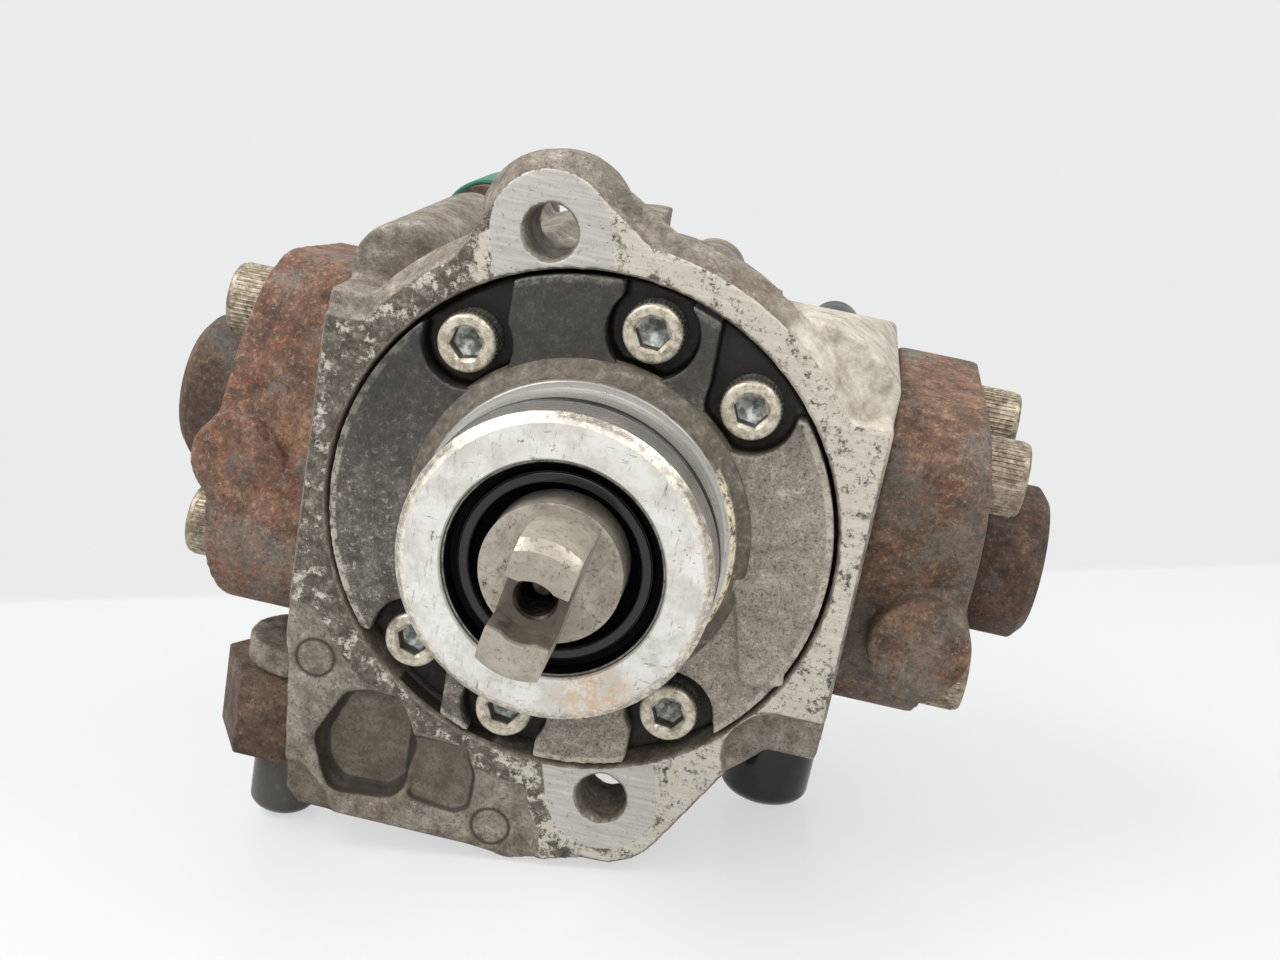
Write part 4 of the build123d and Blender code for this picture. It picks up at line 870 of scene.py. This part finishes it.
def knurl_tree():
    """Joins a ring of fine ridges to a screw's head."""
    tree, names = node_group("knurled_head", Ridges=("Int", 44), Head_radius=("Float", 6.5 * MM),
                             Ridge_radius=("Float", 0.3 * MM), Ridge_length=("Float", 6.0 * MM),
                             Middle=("Float", -4.0 * MM), Material=("Material", None))
    t = Nodes(tree)
    given = t.add("NodeGroupInput").outputs
    ring = t.add("GeometryNodeMeshCircle", Vertices=given["Ridges"], Radius=given["Head radius"])
    ridge = t.add("GeometryNodeMeshCylinder", Vertices=6, Radius=given["Ridge radius"], Depth=given["Ridge length"])
    place = t.add("GeometryNodeInstanceOnPoints", Points=ring.outputs["Mesh"], Instance=ridge.outputs["Mesh"])
    shift = t.add("CombineXYZ", Y=given["Middle"])
    lay = t.add("GeometryNodeTransform", Geometry=place.outputs["Instances"], Translation=shift.outputs[0],
                Rotation=(math.pi / 2, 0, 0))
    both = t.add("GeometryNodeJoinGeometry", Geometry=lay.outputs[0])
    t.row(both, given["Geometry"])
    end_tree(t, given, both.outputs[0])
    return tree, names


def seats_tree():
    """Sets one screw on each point, each with its socket turned its own way."""
    tree, names = node_group("screws_on_seats", Screw=("Object", None), Facing=("Vector", None), Seed=("Int", 1),
                             Material=("Material", None))
    t = Nodes(tree)
    given = t.add("NodeGroupInput").outputs
    model = t.add("GeometryNodeObjectInfo", Object=given["Screw"])
    place = t.add("GeometryNodeInstanceOnPoints", Points=given["Geometry"], Instance=model.outputs["Geometry"],
                  Rotation=given["Facing"])
    chance = t.add("FunctionNodeRandomValue", Seed=given["Seed"])
    chance.data_type = "FLOAT"
    chance.inputs[2].default_value = 0.0
    chance.inputs[3].default_value = 2 * math.pi
    about = t.add("CombineXYZ", Y=chance.outputs[1])
    spin = t.add("GeometryNodeRotateInstances", Instances=place.outputs["Instances"], Rotation=about.outputs[0])
    end_tree(t, given, spin.outputs[0])
    return tree, names


def grown(mesh, tree, names, **values):
    """Mesh with a Geometry Nodes tree applied."""
    piece = working(mesh)
    grow = piece.modifiers.new("grow", "NODES")
    grow.node_group = tree
    for name, value in values.items():
        grow[names[name.replace("_", " ")]] = value
    return applied(piece)


def screw_mesh(head_r, head, key, shank_r, length, loops=96):
    """Socket-head screw along +Y, its head below y = 0."""
    angles = [2 * math.pi * i / loops for i in range(loops)]

    def round_loop(r, y):
        return [(r * math.cos(a), y, r * math.sin(a)) for a in angles]

    def hex_loop(across, y):
        step = math.pi / 3
        reach = [across / 2 / math.cos(a % step - step / 2) for a in angles]
        return [(r * math.cos(a), y, r * math.sin(a)) for r, a in zip(reach, angles)]

    body = head_r - 0.15
    rows = [round_loop(0.001, length), round_loop(shank_r, length), round_loop(shank_r, 0), round_loop(body, 0)]
    rows += [round_loop(r, y) for r, y in arc(body - 0.7, 0.7 - head, 0.7, 0, -90, 4)]
    rows += [round_loop(key * 0.6 + 0.15, -head), hex_loop(key, 0.5 - head), hex_loop(key, -head * 0.42),
             round_loop(key * 0.40, 0.2 - head * 0.42), round_loop(0.001, 1.2 - head * 0.42)]
    points = [Vector(p) * MM for row in rows for p in row]
    faces = [(i * loops + j, i * loops + (j + 1) % loops, (i + 1) * loops + (j + 1) % loops, (i + 1) * loops + j)
             for i in range(len(rows) - 1) for j in range(loops)]
    mesh = bpy.data.meshes.new("screw")
    mesh.from_pydata(points, [], faces)
    tidy_mesh(mesh)
    return mesh


def islands(node):
    """Lowest and highest corners of each separate solid in a CAD node."""
    mesh = merged_copy(node)
    shape = bmesh.new()
    shape.from_mesh(mesh)
    left, found = set(shape.verts), []
    while left:
        reach = [left.pop()]
        corners = []
        while reach:
            vert = reach.pop()
            corners.append(tuple(vert.co))
            for edge in vert.link_edges:
                other = edge.other_vert(vert)
                if other in left:
                    left.remove(other)
                    reach.append(other)
        found.append((np.min(corners, axis=0), np.max(corners, axis=0)))
    shape.free()
    return found


def fit_screws(node, axis, out, size, material, seed, ridges):
    """Knurled screws in place of a node's plain ones, sorted by place. Heads look along out on that axis."""
    head_r, head, key, shank_r = size
    seats = []
    for low, high in sorted(islands(node), key=lambda corners: tuple(corners[0])):
        seat = (low + high) / 2
        length = (high - low)[axis] - head * MM
        seat[axis] = low[axis] + head * MM if out < 0 else high[axis] - head * MM
        seats.append(tuple(seat))
    lean = {(Y_AXIS, -1): 0.0, (Y_AXIS, 1): math.pi, (X_AXIS, 1): math.pi / 2, (X_AXIS, -1): -math.pi / 2}[axis, out]
    plain = screw_mesh(head_r, head, key, shank_r, length / MM)
    knurled = working(grown(plain, *knurl, Ridges=ridges, Head_radius=(head_r - 0.2) * MM,
                            Ridge_radius=0.2 * MM + math.pi * head_r / ridges * 0.12 * MM,
                            Ridge_length=(head - 1.5) * MM, Middle=(0.35 - head / 2) * MM, Material=material))
    points = bpy.data.meshes.new(node + "_points")
    points.from_pydata(seats, [], [])
    mesh = grown(points, *seating, Screw=knurled, Facing=(0.0, 0.0, lean), Seed=seed, Material=material)
    bpy.data.objects.remove(knurled)
    mesh.materials.clear()
    return stand_in(node + "_knurled", mesh, material, node, sharp=SHARP_EDGE)


# ------------------------------------------------------------------ the pump

camera_place = make_camera()
table = make_stage(camera_place)
light_scene(table)

knurl = knurl_tree()
seating = seats_tree()

rust = rust_finish("rusty_head", 0.75, 0.3)
greyer_rust = rust_finish("rusty_grey_head", 0.45, 0.7, 0.98)
dark_rust = rust_finish("dark_rusty_steel", 0.35, 0.3, 0.76)
screw_zinc = screw_finish()
screw_brown = plated_finish("screw_brown", (170, 158, 138), (124, 112, 94), (80, 66, 52))

# The heads keep only what lies inside these solids: the rounded body, the outlet's boss and the outlet's block.
RIGHT_SPAN, LEFT_SPAN, BOSS_SPAN = (35, 80), (-80, -35), (7, 36)
right_body = rounds((10.5, 17, 19.5), (10.5, 44, 22), (8.5, 25.5, -20.5), (9.5, 53, -18.5))
left_body = rounds((12.5, 17, -19.5), (10, 44, -22), (10.5, 25.5, 21), (10, 53, 18.5))
right_zones = (prism(right_body, *RIGHT_SPAN, "X"),
               prism(rounds((9.2, 60.5, -11)), *BOSS_SPAN), box((35, 40, -10), (80, 72, 10)))
left_zones = (prism(left_body, *LEFT_SPAN, "X"),
              prism(rounds((9.2, -62, -4.5)), *BOSS_SPAN), box((-80, 40, -10), (-35, 72, 10)))
deep_pocket = ((-35.5, -38.8), (-30.9, -37.0), (-25.0, -37.8), (-21.8, -43.0), (-21.4, -54.5), (-24.5, -57.8),
               (-34.5, -58.4), (-38.2, -55.0), (-39.4, -48.5))
pocket_floor = tuple((-30.4 + (x + 30.4) * 0.90, -48 + (z + 48) * 0.91) for x, z in deep_pocket)
shallow_pocket = ((-21.9, -44.2), (-11.0, -47.0), (-10.0, -49.5), (-10.2, -56.0), (-13.0, -57.6), (-21.6, -56.6))
corner_chip = ((-48.0, -55.2), (-42.0, -54.0), (-38.6, -56.6), (-35.4, -60.0), (-34.0, -66.0), (-48.0, -66.0))
# What the housing loses: the foot's pockets (x, z), the barrel's skin behind the ring and the top of the right
# shoulder, first seen from the side (y, z), then from the front (x, z). The knives start ahead of the face.
AHEAD = -1.0
RIM_DEPTH, SHALLOW_DEPTH, CHIP_DEPTH = 1.3, 2.0, 1.6
BARREL_R, BARREL_ARC, BARREL_SPAN = 42.4, (56, 90), (11.5, 64)
CLEAR_OF_CASTING = 62
SHOULDER_FROM_SIDE = ((5.9, 41.2), (24, 40.0), (44, 36.8), (66, 33.0), (66, 60), (5.9, 60))
SHOULDER_FROM_FRONT = ((31, 42.0), (36, 40.6), (40, 38.9), (43.6, 36.6), (46.4, 33.8), (48, 31.0), (60, 31.0),
                       (60, 60), (31, 60))
housing_cuts = (prism(deep_pocket, AHEAD, RIM_DEPTH), prism(pocket_floor, AHEAD, POCKET_DEPTH),
                prism(shallow_pocket, AHEAD, SHALLOW_DEPTH), prism(corner_chip, AHEAD, CHIP_DEPTH),
                prism(sector(BARREL_R, CLEAR_OF_CASTING, *BARREL_ARC), *BARREL_SPAN),
                prism(SHOULDER_FROM_SIDE, 24, 60, "X"), prism(SHOULDER_FROM_FRONT, 5.9, 66))
cover_cut = box((-40, -30, -40), (40, -2, 40))

cast_skin("pump_housing", 0.60, 6, housing_finish(), "housing_casting", keep=0.5, cuts=housing_cuts)
cast_skin("front_cover", 0.45, 3, cover_finish(), "cover_casting", keep=0.6, cuts=(cover_cut,))
cast_skin("right_head", 0.60, 12, greyer_rust, "right_head_casting", keep=0.6, zones=right_zones)
cast_skin("left_head", 0.60, 12, rust, "left_head_casting", keep=0.6, zones=left_zones)

hub_outline = [(BUSH_BORE_R, 0), (BUSH_BORE_R, SEAL_BACK), (SEAL_BORE_R, SEAL_BACK), (SEAL_BORE_R, HUB_FRONT + 0.4),
               (SEAL_BORE_R + 0.3, HUB_FRONT), (HUB_R - 1.6, HUB_FRONT), (HUB_R - 0.15, HUB_FRONT + 1.1),
               (HUB_R, HUB_FRONT + 1.3), (HUB_R, GROOVE_FRONT), (GROOVE_R, GROOVE_FRONT), (GROOVE_R, GROOVE_BACK),
               (HUB_R, GROOVE_BACK), (HUB_R, HUB_FOOT), (25.9, -4.5), (26.3, -4.1), (26.3, -3.4), (26.8, -2.3),
               (27.6, -1.5), (28.8, -0.9), (29.4, 0.5)]
turned("pilot_hub", hub_outline, hub_finish(), "front_cover")

turned("seal_case_band", [(17.5, -11.8), (17.5, -20.6), (17.1, -20.7), (16.9, -20.2), (16.8, -17.8), (15.5, -17.5),
                          (15.4, -11.8)],
       seal_finish("seal_case_black", (4, 4, 4), 0.6, 0.08, SEAL_CASE_EDGE_R), "shaft_seal_case")
turned("seal_ring", [(15.3, -11.8), (15.3, -19.0)] + arc(14.9, -19.0, 0.35, 0, -90, 4)
       + arc(13.9, -19.0, 0.35, -90, -180, 4) + [(13.5, -16.0), (13.5, -11.8)],
       seal_finish("seal_ring_black", (18, 18, 19), 0.14, 0.5), "shaft_seal_lip")
turned("seal_lip", [(13.4, -11.8), (13.4, -16.4), (11.9, -15.6), (11.42, -15.2), (11.42, -14.8), (12.4, -13.8),
                    (13.0, -11.8)],
       seal_finish("seal_lip_black", (4, 4, 4), 0.65, 0.06), "shaft_seal_lip")
thread = [(3.38, -33.3)]
for turn in range(7):
    thread += [(3.0, -32.9 + 1.25 * turn), (3.38, -32.3 + 1.25 * turn)]
# The thread inside the puller hole is painted dark as the hole's shade.
turned("puller_thread", thread + [(3.45, -24.4), (3.45, -33.3)],
       plated_finish("shaded_thread", (70, 62, 52), (34, 30, 25)), "drive_shaft", steps=48, sharp=20)
turned("puller_hole_end", [(0, -20.2), (0, -27.2), (1.6, -27.2), (2.0, -26.8), (2.0, -20.2)],
       plated_finish("hole_end", (150, 142, 128), (88, 80, 69)), "drive_shaft", steps=48)

# Screw sizes: head radius, head height, key width, shank radius.
M6_SCREW, M8_SCREW, M5_SCREW = (5.0, 6.0, 5.0, 3.0), (6.5, 8.0, 6.0, 4.0), (4.25, 5.0, 4.0, 2.5)
fit_screws("front_cover_screws", Y_AXIS, -1, M6_SCREW, screw_zinc, seed=4, ridges=40)
fit_screws("feed_cover_screws", Y_AXIS, 1, M6_SCREW, screw_brown, seed=7, ridges=40)
fit_screws("control_valve_screw", Y_AXIS, 1, M5_SCREW, screw_brown, seed=2, ridges=34)
fit_screws("right_head_screws", X_AXIS, 1, M8_SCREW, screw_brown, seed=5, ridges=46)
fit_screws("left_head_screws", X_AXIS, -1, M8_SCREW, screw_brown, seed=9, ridges=46)

shaft_steel = shaft_finish()
fitting_rust = ("right_head_plug", "left_head_plug", "inlet_union", "return_union", "regulating_plug",
                "right_outlet_union", "left_outlet_union")
for node in fitting_rust:
    eased(node, 0.35, dark_rust)
# Axis (x, z), share of the width kept, y where it starts.
VALVE_NARROW = ((-38.5, 33.5), 0.80, 71.0)
SENSOR_NARROW = ((35.5, 17.0), 0.74, 61.0)
eased("drive_shaft", 0.15, shaft_steel)
eased("feed_pump_plate", 0.3, plated_finish("plate_steel", (150, 144, 132), (116, 110, 100)))
alloy = housing_finish()
eased("feed_pump_cover", 0.5, alloy)
cap_black = soft_finish("cap_black", (16, 16, 17), 0.18, 0.01, 0.06)
eased("return_cap", 0.5, cap_black)
eased("inlet_cap", 0.4, soft_finish("cap_grey", (66, 63, 58), 0.3, 0.02, 0.4))
green = soft_finish("green_plastic", (30, 104, 82), 0.4)
eased("control_valve_body", 0.35, dark_rust, narrow=VALVE_NARROW)
eased("control_valve_connector", 0.4, green, narrow=VALVE_NARROW)
eased("temperature_sensor", 0.35, dark_rust, narrow=SENSOR_NARROW)
eased("sensor_connector", 0.4, soft_finish("socket_black", (26, 26, 27), 0.4), narrow=SENSOR_NARROW)

finishes = {
    "cast_aluminium": alloy,
    "cast_iron": rust,
    "zinc_steel": screw_zinc,
    "steel": shaft_steel,
    "spring_steel": plated_finish("spring_wire", (120, 120, 120), (90, 90, 90)),
    "bush_metal": bronze_finish(),
    "seal_rubber": soft_finish("seal_rubber", (16, 16, 16), 0.3),
    "pilot_rubber": soft_finish("pilot_rubber", (18, 18, 18), 0.35),
    "seal_grey": soft_finish("seal_steel", (90, 90, 90), 0.35),
    "green_plastic": green,
    "black_plastic": cap_black,
    "filter_mesh": plated_finish("filter_mesh", (160, 160, 160), (110, 110, 110)),
}
for node, piece in frame["nodes"].items():
    if not piece.hide_render:
        dress(piece, finishes[slots[node]])
